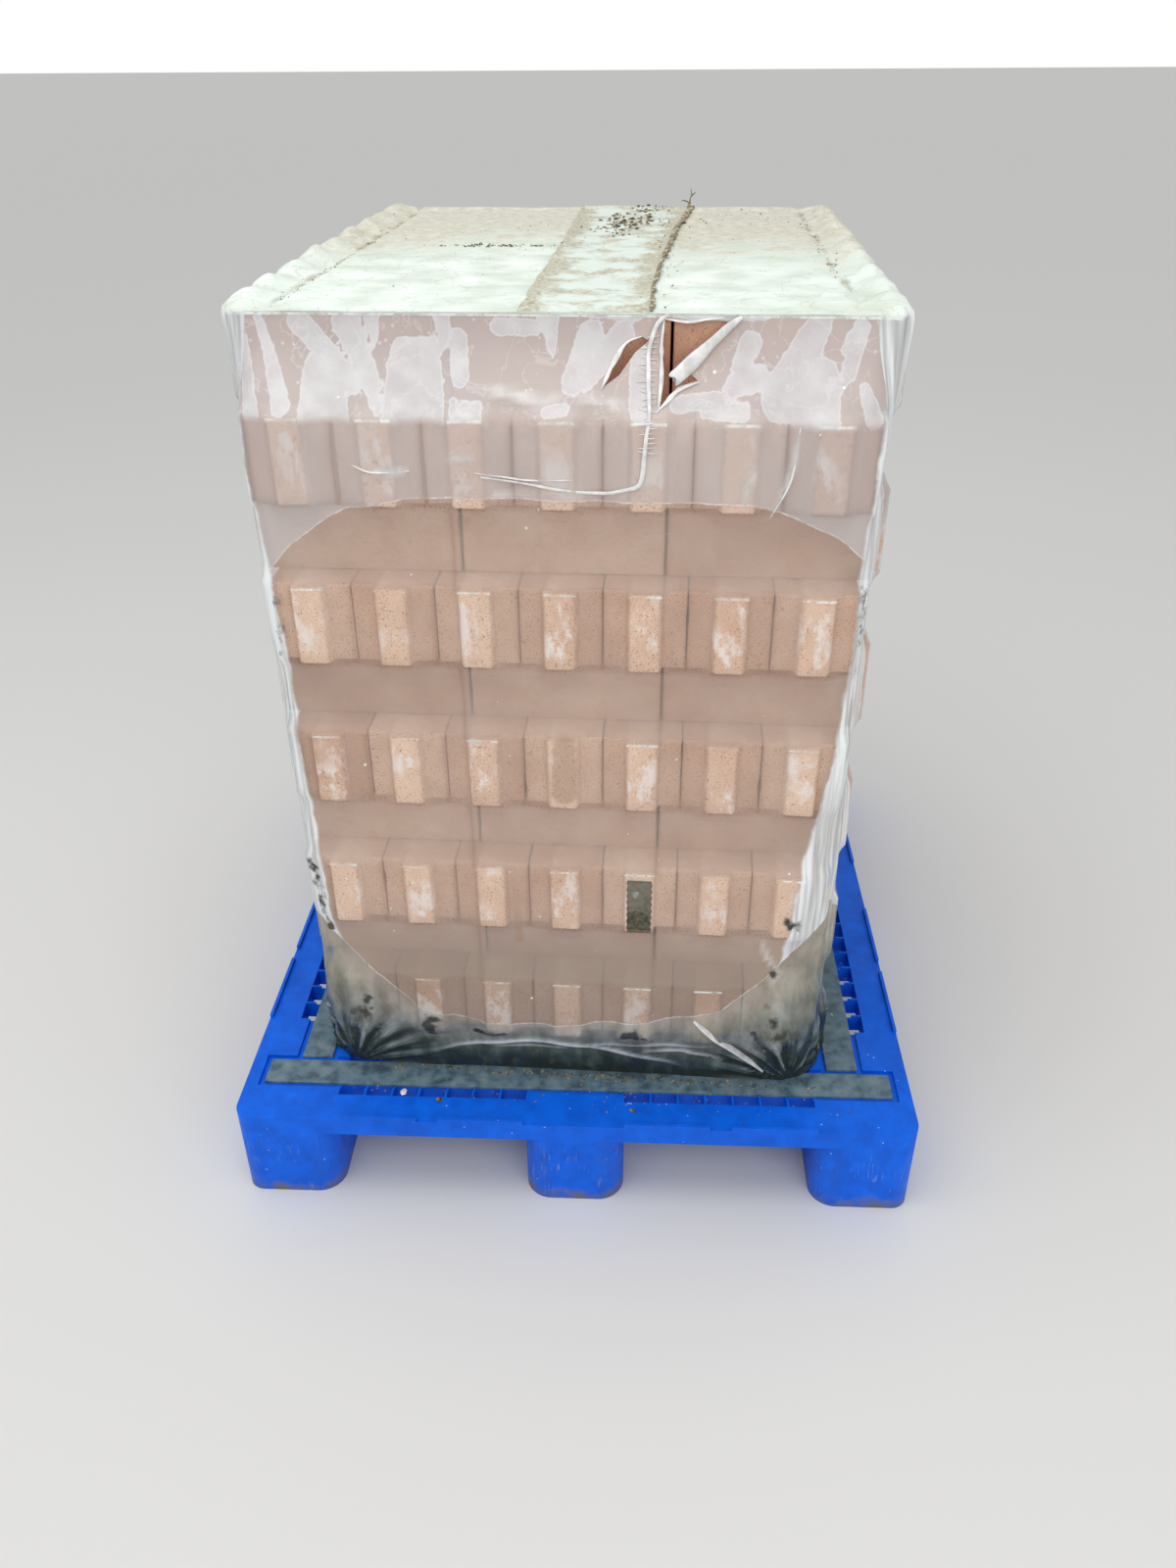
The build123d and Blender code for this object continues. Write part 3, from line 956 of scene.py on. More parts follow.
@dataclass(frozen=True)
class Crease:
    """A raised fold along a line on one side of the hood, in millimetres."""

    line: Points
    half_width: float
    height: float
    # How pale the fold is painted: partly the film's own whitening, partly painted highlight on its ridge
    white: float = 0.0

    def strength(self, across: Array, up: Array) -> Array:
        """Return 1 on the line, falling softly to 0 beside it and towards its ends."""
        best = np.zeros(np.broadcast(across, up).shape)
        lengths = [math.dist(a, b) for a, b in zip(self.line, self.line[1:])]
        whole, gone = sum(lengths), 0.0
        for start, end, length in zip(self.line, self.line[1:], lengths):
            share, away = from_stretch(start, end, across, up)
            place = (gone + share * length) / whole
            taper = np.sin(np.pi * np.clip(place, 0, 1)) ** 0.45
            best = np.maximum(best, hump(away, self.half_width * MM) * taper)
            gone += length
        return best


# Strokes on the front film, each with u and w of its start and end and its first and last radius
# White, unsealed shapes of the doubled film round the top
FRONT_WHITES: Points = (
    (-330, 1082, -303, 1000, 4.4, 9.8), (-286, 1080, -225, 1019, 12, 9.7), (-260, 1029, -255, 984, 21.6, 28.1),
    (-233, 1078, -202, 1017, 15.2, 8.6), (-209, 1024, -195, 995, 8.6, 3.2), (-205, 1089, -201, 1056, 9.7, 2.2),
    (-158, 1034, -156, 985, 30, 34.3), (-171, 1052, -141, 1054, 12, 11.8), (-128, 1090, -124, 1056, 9.6, 4.3),
    (-110, 1064, -107, 1027, 9.6, 9.6), (-112, 1004, -111, 992, 5.4, 4.4), (-98, 1003, -98, 992, 4.4, 4.4),
    (-86, 1003, -86, 992, 4.4, 4.4), (-352, 1073, -338, 990, 5.6, 9.9), (-66, 1076, -26, 1075, 9, 8),
    (-11, 1089, -7, 1049, 10.6, 3.2), (34, 1069, 16, 1023, 13.7, 11.6), (68, 1068, 30, 1023, 13.6, 8.5),
    (88, 1050, 90, 1000, 10.5, 11.5), (279, 1084, 244, 1012, 12.3, 24.7), (281, 1029, 278, 990, 20.5, 24.6),
    (322, 1077, 311, 1035, 9.2, 8.2), (312, 1071, 305, 1055, 4.1, 3.1), (302, 1024, 290, 995, 5.1, 5.1),
    (328, 1021, 340, 992, 6.1, 9.2), (215, 1030, 190, 1022, 12.4, 10.4), (206, 1062, 196, 1040, 12, 9),
    (200, 1000, 160, 998, 8, 6), (89, 1090, 40, 1089, 6.4, 4.3), (136, 1090, 222, 1090, 5.2, 6.2),
    (130, 1004, 176, 1010, 8, 7), (8, 1000, -12, 997, 6, 5),
)

# Folds of the front film: soft fold over the rim's foot, hem folds and short ties on the tongues
FRONT_CREASES: tuple[Crease, ...] = (
    Crease(((-92, 1019), (-50, 1012), (-15, 1006), (16, 1014)), 7.5, 4.0, 0.55),
    Crease(((12, 1012), (45, 1006), (84, 1003)), 7.0, 3.0, 0.45),
    Crease(((-222, 30), (-180, 50), (-136, 64), (-80, 74), (-25, 76), (24, 69), (81, 51), (146, 35), (184, 17)),
           7.0, 6.0, 0.9),
    Crease(((-5, 74), (28, 71), (144, 80), (230, 84)), 4.5, 3.0, 0.6),
    Crease(((100, 57), (122, 61), (168, 68), (205, 55), (238, 34)), 6.0, 4.0, 0.65),
    Crease(((-130, 56), (-60, 58), (10, 56)), 4.5, 3.0, 0.5),
    Crease(((-225, 938), (-200, 933), (-165, 932)), 3.5, 2.0, 0.85),
    Crease(((-122, 949), (-86, 947)), 3.0, 1.5, 0.6),
    Crease(((-118, 919), (-69, 909), (-9, 911), (40, 905)), 3.5, 2.0, 0.55),
    Crease(((262, 985), (254, 930), (236, 884)), 4.0, 2.5, 0.5),
    Crease(((214, 941), (206, 902)), 5.0, 1.5, 0.7),
    Crease(((268, 300), (276, 262), (296, 230), (284, 205)), 6.0, 3.0, 0.5),
)

# Dark growth trapped behind the front film
FRONT_STAINS: Points = (
    (-290, 158, -297, 124, 7, 6), (-200, 112, -198, 106, 13, 10), (-199, 104, -201, 66, 8, 1),
    (-132, 95, -102, 91, 7, 7), (84, 108, 110, 108, 6, 6), (304, 323, 314, 316, 6, 5),
    (285, 217, 288, 232, 4, 3), (280, 199, 291, 155, 2, 2), (291, 155, 302, 118, 3, 6),
    (-341, 770, -343, 700, 3, 1), (-350, 392, -331, 272, 4, 3), (352, 791, 356, 729, 3, 2),
    (-180, 6, 140, 4, 5, 6),
)

# Run of a brown drip on the front film
FRONT_DRIPS: Points = (
    (-68, 381, -65, 272, 2, 4.5), (-64, 300, -66, 262, 3, 1), (3, 588, 2, 520, 14, 17),
)

# Lower edge of the doubled film and upper edge of the dirty hem, as u and w in millimetres
UPPER_ARCH: Points = ((-372, 770), (-325, 832), (-254, 884), (-177, 900), (-108, 904), (132, 901), (220, 902),
                      (284, 878), (331, 852), (372, 805))
LOWER_ARCH: Points = ((-372, 330), (-330, 268), (-281, 210), (-210, 138), (-114, 117), (-9, 120), (109, 133),
                      (217, 158), (280, 220), (330, 292), (372, 345))

# Height and the left and right inner edges of the white corner bands on the front, in millimetres
CORNER_BANDS: Points = ((0, 250, 250), (173, 294, 288), (280, 325, 300), (400, 331, 312), (560, 337, 335),
                        (680, 335, 345), (780, 340, 344), (860, 352, 346), (990, 354, 352), (1087, 358, 356))


def flowing(line: Points, at: Array) -> Array:
    """Return the height of a softly smoothed line of millimetre points, in metres.

    Args:
        line: places and heights in millimetres.
        at: places in metres.

    Returns:
        The height at each place.
    """
    widest, steps, blur = 450 * MM, 361, 10
    places = np.linspace(-widest, widest, steps)
    heights = np.interp(places, [p[0] * MM for p in line], [p[1] * MM for p in line])
    kernel = np.hanning(2 * blur + 1)
    rounded = np.convolve(np.pad(heights, blur, mode="edge"), kernel / kernel.sum(), "valid")
    return np.interp(at, places, rounded)


def widened(reach: Array) -> Array:
    """Return the largest reach of each column and the two beside it."""
    return np.maximum(np.maximum(np.roll(reach, 1, axis=1), np.roll(reach, -1, axis=1)), reach)


@dataclass
class ShrinkHood:
    """One film bag shrunk over the stack, open below, torn at the front of its top."""

    stack: BrickStack
    inner_half_width: float = 290 * MM
    inner_front: float = -400 * MM
    inner_back: float = 390 * MM
    front_cells: int = 92
    side_cells: int = 100
    fan_cells: int = 16
    bottom_cells: int = 22
    row_cells: int = 12
    top_cells: int = 18
    column_step: float = 6.8 * MM
    fold_step: float = 5.9 * MM
    clearance: float = 1.0 * MM
    reach: float = 170 * MM
    rounds: int = 1500
    ray_points: int = 681
    load_half_width: float = 380.5 * MM
    hem_half_width: float = 332 * MM
    hem_half_depth: float = 425 * MM
    fan_length: float = 88 * MM
    # Front, back and corner radius of the hem's, the top rim's and the widest outline
    hem: Triple = (-478 * MM, 474 * MM, 72 * MM)
    rim: Triple = (-450.5 * MM, 450.5 * MM, 16 * MM)
    widest: Triple = (-511.5 * MM, 493.5 * MM, 40 * MM)
    # Half width, where its slant starts, front and back of the outline that spans the corners, and its slant's side
    bridge: tuple[float, float, float, float] = (375 * MM, 341 * MM, -508 * MM, 489 * MM)
    bridge_turn: float = 423 * MM
    # How far from a corner the film starts to lie on the bricks, where it does so fully, and how far it may sink
    corner_start: float = 16 * MM
    corner_end: float = 100 * MM
    corner_slack: float = 60 * MM
    pull: Pair = (5.5, 9.5)
    front_patch: Array = field(init=False, repr=False)
    film: Material = made_of(ShrunkFilm)

    @property
    def widths(self) -> tuple[int, int]:
        """How many columns the front and a side have, corners included."""
        return self.front_cells + 2 * self.fan_cells, self.side_cells + 2 * self.fan_cells

    def rays(self) -> tuple[Array, Array]:
        """Return the start and direction of each column's ray, once round the hood."""
        left, right = -self.inner_half_width, self.inner_half_width
        front, back = self.inner_front, self.inner_back
        corners = [np.array(p) for p in ((left, front), (right, front), (right, back), (left, back))]
        starts, ways = [], []
        for index in range(4):
            first, last = corners[index], corners[(index + 1) % 4]
            along = (last - first) / np.linalg.norm(last - first)
            out = np.array([along[1], -along[0]])
            cells = self.front_cells if index % 2 == 0 else self.side_cells
            fan = 45 * np.arange(self.fan_cells) / self.fan_cells
            for turn in np.radians([*(fan - 45), *[0] * cells, *fan]):
                ways.append(out * math.cos(turn) + along * math.sin(turn))
            starts += [first] * self.fan_cells
            starts += [first + (last - first) * step / cells for step in range(cells)]
            starts += [last] * self.fan_cells
        return np.array(starts), np.array(ways)

    def side_places(self, plan: Array) -> tuple[Array, Array]:
        """Return each column's side, from 0 at the front round to 3 at the left, and place along it.

        Args:
            plan: places of the columns seen from above.

        Returns:
            The side numbers and the distances along each side from its middle.
        """
        wide, deep = self.widths
        sides = np.repeat([0, 1, 2, 3], [wide, deep, wide, deep])
        along = np.choose(sides, [plan[..., 0], plan[..., 1], -plan[..., 0], -plan[..., 1]])
        return sides, along

    def levels(self) -> Array:
        """Return the heights of the side film's levels, closer in the lowest and the top row."""
        heights = [0.0]
        for row in range(1, self.stack.rows + 1):
            cells = {1: self.bottom_cells, self.stack.rows: self.top_cells}.get(row, self.row_cells)
            base = (row - 1) * BRICK.height
            heights += [base + BRICK.height * (step + 1) / cells for step in range(cells)]
        return np.array(heights)

    def reach_inside(self, inside: Callable[[Array, Array], Array]) -> Array:
        """Return how far each ray stays inside a shape seen from above."""
        starts, ways = self.rays()
        steps = np.linspace(0, self.reach, self.ray_points)
        u = starts[:, None, 0] + ways[:, None, 0] * steps
        v = starts[:, None, 1] + ways[:, None, 1] * steps
        return np.where(inside(u, v), steps, 0).max(axis=1)

    def brick_reach(self, course: Course) -> Array:
        """Return each ray's way out through the bricks of a row."""
        def tongue(depth: Array, across: Array) -> Array:
            """Tell whether places lie in a tongue of the row, at a depth before its shoulders."""
            narrowing = (BRICK.tongue_root - BRICK.tongue_tip) / 2 * np.clip(depth / BRICK.tongue_depth, 0, 1)
            offset = np.abs(across - BRICK.width_pitch * np.round(across / BRICK.width_pitch))
            return (depth >= 0) & (depth <= BRICK.tongue_depth) & (offset <= BRICK.tongue_root / 2 - narrowing)

        def cross(u: Array, v: Array) -> Array:
            """Tell whether places lie in the bricks of a crosswise row."""
            half_long = BRICK.length_pitch + BRICK.length / 2
            half_deep = self.stack.cross_deep * BRICK.width_pitch / 2
            body = (np.abs(u) <= half_long) & (np.abs(v) <= half_deep)
            return body | (tongue(np.abs(u) - half_long, v) & (np.abs(v) < half_deep))

        def along(u: Array, v: Array) -> Array:
            """Tell whether places lie in the bricks of a row that runs front to back."""
            half_wide = self.stack.along_wide * BRICK.width_pitch / 2
            front = self.stack.front
            back = front + 4 * BRICK.length + 3 * (BRICK.length_pitch - BRICK.length)
            body = (np.abs(u) <= half_wide) & (v >= front) & (v <= back)
            ends = (tongue(front - v, u) | tongue(v - back, u)) & (np.abs(u) < half_wide)
            return body | ends

        return self.reach_inside(cross if course is Course.CROSS else along)

    def outline_reach(self, front: float, back: float, radius: float) -> Array:
        """Return each ray's way out through a rounded rectangle as wide as the load."""
        def inside(u: Array, v: Array) -> Array:
            """Tell whether places lie in the rounded rectangle."""
            middle, half_deep = (front + back) / 2, (back - front) / 2
            x = np.maximum(np.abs(u) - self.load_half_width + radius, 0)
            y = np.maximum(np.abs(v - middle) - half_deep + radius, 0)
            return np.hypot(x, y) <= radius

        return self.reach_inside(inside)

    def bridge_reach(self) -> Array:
        """Return each ray's way out through the outline that spans the corners."""
        half_width, end, front, back = self.bridge
        turn = self.bridge_turn

        def inside(u: Array, v: Array) -> Array:
            """Tell whether places lie in the rectangle with slanted corners."""
            u = np.abs(u)
            limit = np.where(v < 0, front, back)
            slant = (u - end) / (half_width - end) + (np.abs(v) - turn) / (np.abs(limit) - turn)
            return (u <= half_width) & (np.abs(v) <= np.abs(limit)) & (slant <= 1)

        return self.reach_inside(inside)

    def relax(self) -> tuple[Array, Array]:
        """Shrink the side film onto the bricks.

        Returns:
            The reach of each point along its ray and the bricks' reach behind it.
        """
        starts, ways = self.rays()
        heights = self.levels()
        count = len(starts)
        cross, along = self.brick_reach(Course.CROSS), self.brick_reach(Course.ALONG)
        bricks = np.zeros((len(heights), count))
        for level, height in enumerate(heights):
            low = min(max(math.ceil(height / BRICK.height - 1e-6), 1), self.stack.rows)
            high = min(int(height / BRICK.height + 1e-6) + 1, self.stack.rows)
            options = [cross if self.stack.course(r) is Course.CROSS else along for r in (low, high)]
            bricks[level] = np.maximum(*options)
        solid = widened(bricks) + self.clearance
        stack_top = heights[-1]
        hem, taut = self.outline_reach(*self.hem), self.outline_reach(*self.rim)
        rim = taut - 0.55 * np.maximum(taut - cross - self.clearance, 0)
        reach = np.maximum(solid, self.outline_reach(*self.widest))
        reach[0], reach[-1] = np.maximum(hem, solid[0]), np.maximum(rim, cross + self.clearance)
        away = self.corner_distance()
        slack = self.corner_slack * smooth(self.corner_start, self.corner_end, away)
        share = smooth(stack_top - BRICK.height, stack_top, heights)[:, None]
        bridge = self.bridge_reach() * (1 - share) + rim * share - slack
        low = smooth(0, BRICK.height, heights)[:, None]
        sunk = self.corner_slack * (away > self.corner_end)
        solid = np.maximum(solid, bridge * low + reach[0] * (1 - low) - sunk)
        below, above = np.diff(heights)[:-1, None], np.diff(heights)[1:, None]
        across = self.column_step
        pull = np.interp(heights, [0, stack_top + 1 * MM], self.pull)[1:-1, None]
        weight = 2 / across ** 2 + 2 / (below * above)
        for _ in range(self.rounds):
            points = starts + ways * reach[..., None]
            beside = (np.roll(points, 1, axis=1) + np.roll(points, -1, axis=1))[1:-1] / across ** 2
            between = 2 * (points[2:] / above[..., None] + points[:-2] / below[..., None])
            between = between / (below + above)[..., None]
            moved = (((beside + between) / weight[..., None] - starts) * ways).sum(-1) - pull / weight
            reach[1:-1] = np.maximum(moved, solid[1:-1])
        return reach, bricks

    def corner_distance(self) -> Array:
        """Return each column's distance along the film from the nearest corner."""
        starts, ways = self.rays()
        slant = np.degrees(np.arctan2(np.minimum(np.abs(ways[:, 0]), np.abs(ways[:, 1])),
                                      np.maximum(np.abs(ways[:, 0]), np.abs(ways[:, 1]))))
        in_fan = (45 - slant) / 45 * self.fan_length
        beyond_u = self.inner_half_width - np.abs(starts[:, 0])
        beyond_v = np.minimum(starts[:, 1] - self.inner_front, self.inner_back - starts[:, 1])
        return in_fan + np.where(slant > 0.01, 0, np.maximum(beyond_u, beyond_v))

    def pleats(self, sides: Array, along: Array, up: Array) -> tuple[Array, Array, Array]:
        """Return the fans of pleats at the bottom corners.

        Args:
            sides: side number of each point.
            along: place along its side.
            up: its height.

        Returns:
            Values from -1 in a valley to 1 on a ridge, the place across the fan in metres
            and how strongly the fan shows.
        """
        total = np.zeros(np.broadcast(along, up).shape)
        across, shown = np.zeros_like(total), np.zeros_like(total)
        for side in range(4):
            half = self.hem_half_depth if side % 2 else self.hem_half_width
            for end in (-1, 1):
                inward = np.maximum(half - end * along, -20 * MM)
                angle = np.arctan2(up + 2 * MM, inward)
                far = np.hypot(inward, up)
                seed = 40 + side * 2 + (end > 0)
                bend = value_noise(far / (50 * MM), angle * 1.5, seed)
                wave = np.sin(angle * 19 + bend * 1.3 + seed)
                reach = smooth(8 * MM, 34 * MM, far) * smooth(175 * MM, 70 * MM, far)
                here = (sides == side) & (end * along > 0)
                total = total + np.where(here, wave * reach, 0)
                across = across + np.where(here, angle * 70 * MM, 0)
                shown = shown + np.where(here, reach, 0)
        return total, across, shown

    def corner_folds(self, up: Array, count: int) -> Array:
        """Return the upright folds near the corners, from 0 to 1.

        Args:
            up: height of each level, one row each.
            count: how many columns the hood has.

        Returns:
            The folds' strength at each level and column.
        """
        wide, deep = self.widths
        column = np.arange(count)
        total = np.zeros((len(up), count))
        centres = np.cumsum([0, wide, deep, wide])
        for corner, centre in enumerate(centres):
            offset = (column - centre + count / 2) % count - count / 2
            for fold, (place, width, strength) in enumerate(((-18, 8, 0.7), (9, 8, 1.0))):
                seed = 60 + corner * 7 + fold
                drift = value_noise(up / (150 * MM), fold * 3.3, seed) * 13 * MM
                drift = drift + value_noise(up / (60 * MM), fold, seed + 1) * 2.5 * MM
                fade = smooth(-0.75, 0.1, value_noise(up / (210 * MM), 1.7, seed + 2))
                away = offset[None, :] * self.fold_step - place * MM - drift
                total = np.maximum(total, hump(away, width * MM) * strength * fade)
        return total

    def ripples(self, reach: Array, bricks: Array) -> tuple[Array, dict[str, Array]]:
        """Add folds, pleats, puffs and slack to the side film.

        Args:
            reach: the shrunk film's reach along each ray.
            bricks: the bricks' reach along each ray.

        Returns:
            The folded film's reach, and how creased and pleated each point is.
        """
        starts, ways = self.rays()
        heights = self.levels()
        count = len(starts)
        points = starts + ways * reach[..., None]
        sides, along = self.side_places(points)
        up = heights[:, None]
        arc = np.arange(count)[None, :] * self.column_step
        body = smooth(0, 50 * MM, up) * smooth(0, 45 * MM, heights[-1] - up)
        folds = self.corner_folds(up, count) * (0.2 + 0.8 * smooth(20 * MM, 130 * MM, heights[-1] - up))
        folds = folds * smooth(0, 30 * MM, heights[-1] - up)
        out = folds * 5.5 * MM * smooth(-5 * MM, 70 * MM, up)
        pleat, fan, fanned = self.pleats(sides[None, :], along, up)
        out = out + (pleat + 0.4) * 3.6 * MM * (np.abs(pleat) > 0.01)
        side = (sides == 1) | (sides == 3)
        below = heights[-1] - up
        puff = hump(below - 6 * MM, 26 * MM) * brick_wave(along)
        puff = puff * smooth(0, 8 * MM, below)
        out = out + np.where(side[None, :], puff * 4 * MM, 0)
        slack = value_noise(arc / (60 * MM), up / (45 * MM), 12) * smooth(150 * MM, 40 * MM, up)
        out = out + slack * 2.5 * MM * smooth(0, 25 * MM, up)
        out = out + value_noise(arc / (75 * MM), up / (60 * MM), 14) * 1.0 * MM * body
        # Folds and corner ridges are painted pale: partly the film's own whitening, partly painted highlight
        white = np.zeros_like(reach)
        creases = [(0, crease, 0.3, 0.95) for crease in FRONT_CREASES]
        creases += [(turn, crease, 0.45, 0.85) for turn, crease in self.loose_creases()]
        for turn, crease, faint, full in creases:
            strength = np.where(sides[None, :] == turn, crease.strength(along, up), 0)
            out = out + strength * crease.height * MM
            white = np.maximum(white, smooth(faint, full, strength) * crease.white)
        white = np.maximum(white, smooth(0.7, 0.98, folds) * 0.7 * smooth(0, 40 * MM, up))
        marks = {"crease": white, "pleat": pleat, "fan": fan, "fanned": fanned}
        return np.maximum(reach + out, widened(bricks) + 0.6 * MM), marks

    def loose_creases(self) -> list[tuple[int, Crease]]:
        """Return the folds of the hem and the short ties on the three other sides."""
        chance = np.random.default_rng(17)
        creases = []
        for side in (1, 2, 3):
            half = 300 if side == 2 else 400
            start = -half
            while start < half - 120:
                length = chance.uniform(120, 240)
                middle = chance.uniform(45, 78)
                line = [(start + length * share, middle + chance.uniform(-14, 10)) for share in (0, 0.3, 0.6, 1)]
                creases.append((side, Crease(line, chance.uniform(4.5, 7), chance.uniform(3, 6),
                                             chance.uniform(0.4, 0.9))))
                start += length * chance.uniform(0.5, 0.9)
            for _ in range(7):
                across, up = chance.uniform(-half, half), chance.uniform(160, 960)
                line = [(across, up), (across + chance.uniform(15, 50), up + chance.uniform(-12, 12))]
                creases.append((side, Crease(line, 3.5, 2.0, chance.uniform(0.4, 0.8))))
        return creases

    def loose_whites(self) -> list[tuple[int, Capsule]]:
        """Return the white shapes of the top band on the three other sides."""
        chance = np.random.default_rng(23)
        shapes = []
        for side in (1, 2, 3):
            half = 330 if side == 2 else 430
            place = -half
            while place < half:
                kind = chance.integers(0, 4)
                if kind == 0:
                    wide = chance.uniform(16, 32)
                    shapes.append((side, Capsule((place, chance.uniform(1018, 1040)), (place, 985), wide, wide + 4)))
                    place += wide * 1.7
                elif kind == 1:
                    lean = chance.uniform(-60, 60)
                    shapes.append((side, Capsule((place, 1084), (place + lean, 1012), chance.uniform(8, 15),
                                                 chance.uniform(6, 12))))
                    place += abs(lean) * 0.6 + 12
                elif kind == 2:
                    shapes.append((side, Capsule((place, 1090), (place + 4, chance.uniform(1045, 1062)), 9, 2.5)))
                    place += 24
                else:
                    shapes.append((side, Capsule((place, 1064), (place + 2, 1028), 8.5, 9)))
                    place += 26
        return shapes

    def lid_height(self, u: Values, v: Values) -> Array:
        """Return the height of the film over the top row."""
        top = self.stack.rows * BRICK.height
        edge = 380 * MM - np.abs(u)
        scallop = brick_wave(v)
        wobble = value_noise(u / (24 * MM), v / (24 * MM), 21)
        puff = hump(edge - 22 * MM, 17 * MM) * (0.3 + 0.7 * scallop ** 0.7 + 0.25 * wobble)
        trench = hump(edge - 58 * MM, 7 * MM)
        swell = 3.2 + 1.2 * value_noise(u / (90 * MM), v / (90 * MM), 22)
        swell = swell + 0.7 * value_noise(u / (70 * MM), v / (14 * MM), 23)
        height = (swell - 2.6 * trench) * MM + puff * 13 * MM
        back_lip = hump(v - 440 * MM, 12 * MM) * 5.0 * MM
        drawn_flat = 0.2 + 0.8 * smooth(0, 60 * MM, v + 450 * MM)
        return top + np.maximum((height + back_lip) * drawn_flat, 0.6 * MM)

    def shape(self) -> tuple[Array, list[tuple[int, ...]], dict[str, Array], Array]:
        """Build the hood's points, faces, stored fields and film coordinates."""
        starts, ways = self.rays()
        count = len(starts)
        heights = self.levels()
        shrunk, bricks = self.relax()
        reach, marks = self.ripples(shrunk, bricks)
        plan = starts + ways * reach[..., None]
        levels = len(heights)
        side = np.concatenate([plan, np.broadcast_to(heights[:, None, None], (levels, count, 1))], axis=-1)
        wide, deep = self.widths
        ring = np.arange(count) + (levels - 1) * count
        numbers = -np.ones((wide + 1, deep + 1), int)
        numbers[:, 0] = ring[:wide + 1]
        numbers[wide, :] = ring[wide:wide + deep + 1]
        numbers[:, deep] = ring[wide + deep:2 * wide + deep + 1][::-1]
        numbers[0, :] = np.append(ring[2 * wide + deep:], ring[0])[::-1]
        edge = side.reshape(-1, 3)
        i, j = np.meshgrid(np.arange(wide + 1) / wide, np.arange(deep + 1) / deep, indexing="ij")
        near, far = edge[numbers[:, 0]][:, None], edge[numbers[:, deep]][:, None]
        left, right = edge[numbers[0, :]][None], edge[numbers[wide, :]][None]
        i, j = i[..., None], j[..., None]
        corners = ((1 - i) * (1 - j) * left[:, :1] + i * (1 - j) * right[:, :1]
                   + (1 - i) * j * left[:, -1:] + i * j * right[:, -1:])
        lid = (1 - j) * near + j * far + (1 - i) * left + i * right - corners
        lid[..., 2] = self.lid_height(lid[..., 0], lid[..., 1])
        inner = lid[1:-1, 1:-1]
        numbers[1:-1, 1:-1] = len(edge) + np.arange(inner.shape[0] * inner.shape[1]).reshape(inner.shape[:2])
        points = np.concatenate([edge, inner.reshape(-1, 3)])
        faces = quads(levels, count, True)
        faces += list(zip(numbers[:-1, :-1].ravel(), numbers[1:, :-1].ravel(),
                          numbers[1:, 1:].ravel(), numbers[:-1, 1:].ravel()))
        fields = self.fields(points, side, reach - bricks, marks)
        laid = np.zeros((len(points), 2))
        laid[:len(edge), 0] = np.tile(np.linspace(0, 3.4, count, endpoint=False), levels)
        laid[:len(edge), 1] = np.repeat(heights, count)
        laid[len(edge):] = points[len(edge):, :2] + (5.0, 5.0)
        self.front_patch = side[:, :wide + 1]
        return points, faces, fields, laid

    def fields(self, points: Array, side: Array, gaps: Array, marks: dict[str, Array]) -> dict[str, Array]:
        """Work out what the finish reads at each point.

        Args:
            points: the hood's points in the load's axes.
            side: the side film's points by level and column.
            gaps: distance from the bricks behind, by level and column.
            marks: how creased and pleated the side film is.

        Returns:
            Each field by name, in metres or from 0 to 1.
        """
        rim, count = side.shape[0] * side.shape[1], side.shape[1]
        sides, along = self.side_places(side)
        sides = np.broadcast_to(sides, along.shape)
        up = side[..., 2]
        narrower = self.hem_half_width / self.hem_half_depth
        at = along * np.where(sides % 2 == 0, 1, narrower) * np.where(sides == 0, 1, -1)
        upper = up - flowing(UPPER_ARCH, at)
        sag = flowing(LOWER_ARCH, at)

        def deepest(front: Points, others: list[tuple[int, Capsule]]) -> Array:
            """Return how deep each place lies inside the deepest of some strokes."""
            best = np.full(up.shape, FAR_OUT)
            for turn, shape in [(0, Capsule(row[:2], row[2:4], *row[4:])) for row in front] + others:
                best = np.maximum(best, np.where(sides == turn, shape.depth(along, up), FAR_OUT))
            return best

        chance = np.random.default_rng(31)
        loose = []
        for turn in (1, 2, 3):
            half = 300 if turn == 2 else 400
            for _ in range(9):
                across, height = chance.uniform(-half, half), chance.uniform(70, 115)
                loose.append((turn, Capsule((across, height), (across + chance.uniform(-18, 18), height - 8), 7, 6)))
            loose.append((turn, Capsule((-half, 4), (half, 4), 5, 5)))
        # The stain tone is also laid along the pleats' valleys, stronger where they are deeper
        pleat_valley_dark = np.minimum(-marks["pleat"] - 0.55, 0.3) * 16 * MM
        stains = np.maximum(deepest(FRONT_STAINS, loose), np.where(marks["pleat"] < -0.2, pleat_valley_dark, FAR_OUT))
        inner = np.interp(up, np.array([0.0, 0.17, 0.4, 0.57, 0.78, 0.86, 1.09]),
                          np.array([60, 92, 62, 54, 50, 46, 66]) * MM)
        corner = inner - np.broadcast_to(self.corner_distance(), up.shape)
        bands = np.array(CORNER_BANDS) * MM
        left, right = (np.interp(up, bands[:, 0], bands[:, column]) for column in (1, 2))
        corner = np.where(sides == 0, np.abs(along) - np.where(along < 0, left, right), corner)
        on_sides = {
            "upper": upper,
            "lower": sag - up,
            "lowness": np.clip(up / sag, 0, 1.4),
            "gap": gaps,
            "band": smooth(985 * MM, 990 * MM, up),
            "milky": deepest(FRONT_WHITES, self.loose_whites()),
            "stain": stains,
            "corner": corner,
            "grimy": smooth(330 * MM, 200 * MM, up),
            "drip": deepest(FRONT_DRIPS, []),
            **marks,
        }
        made = {}
        for name, values in on_sides.items():
            whole = np.zeros(len(points))
            whole[:rim] = np.broadcast_to(values, up.shape).ravel()
            made[name] = whole
        u, v, _ = points.T
        lid = np.zeros(len(points))
        lid[rim - count:] = 1.0
        edge_of_soil = np.interp(u, [-0.39, -0.271, -0.149, -0.011, 0.12, 0.25, 0.38],
                                 [-0.094, -0.028, 0.071, 0.126, -0.05, 0.0, -0.1])
        made["lid"] = lid
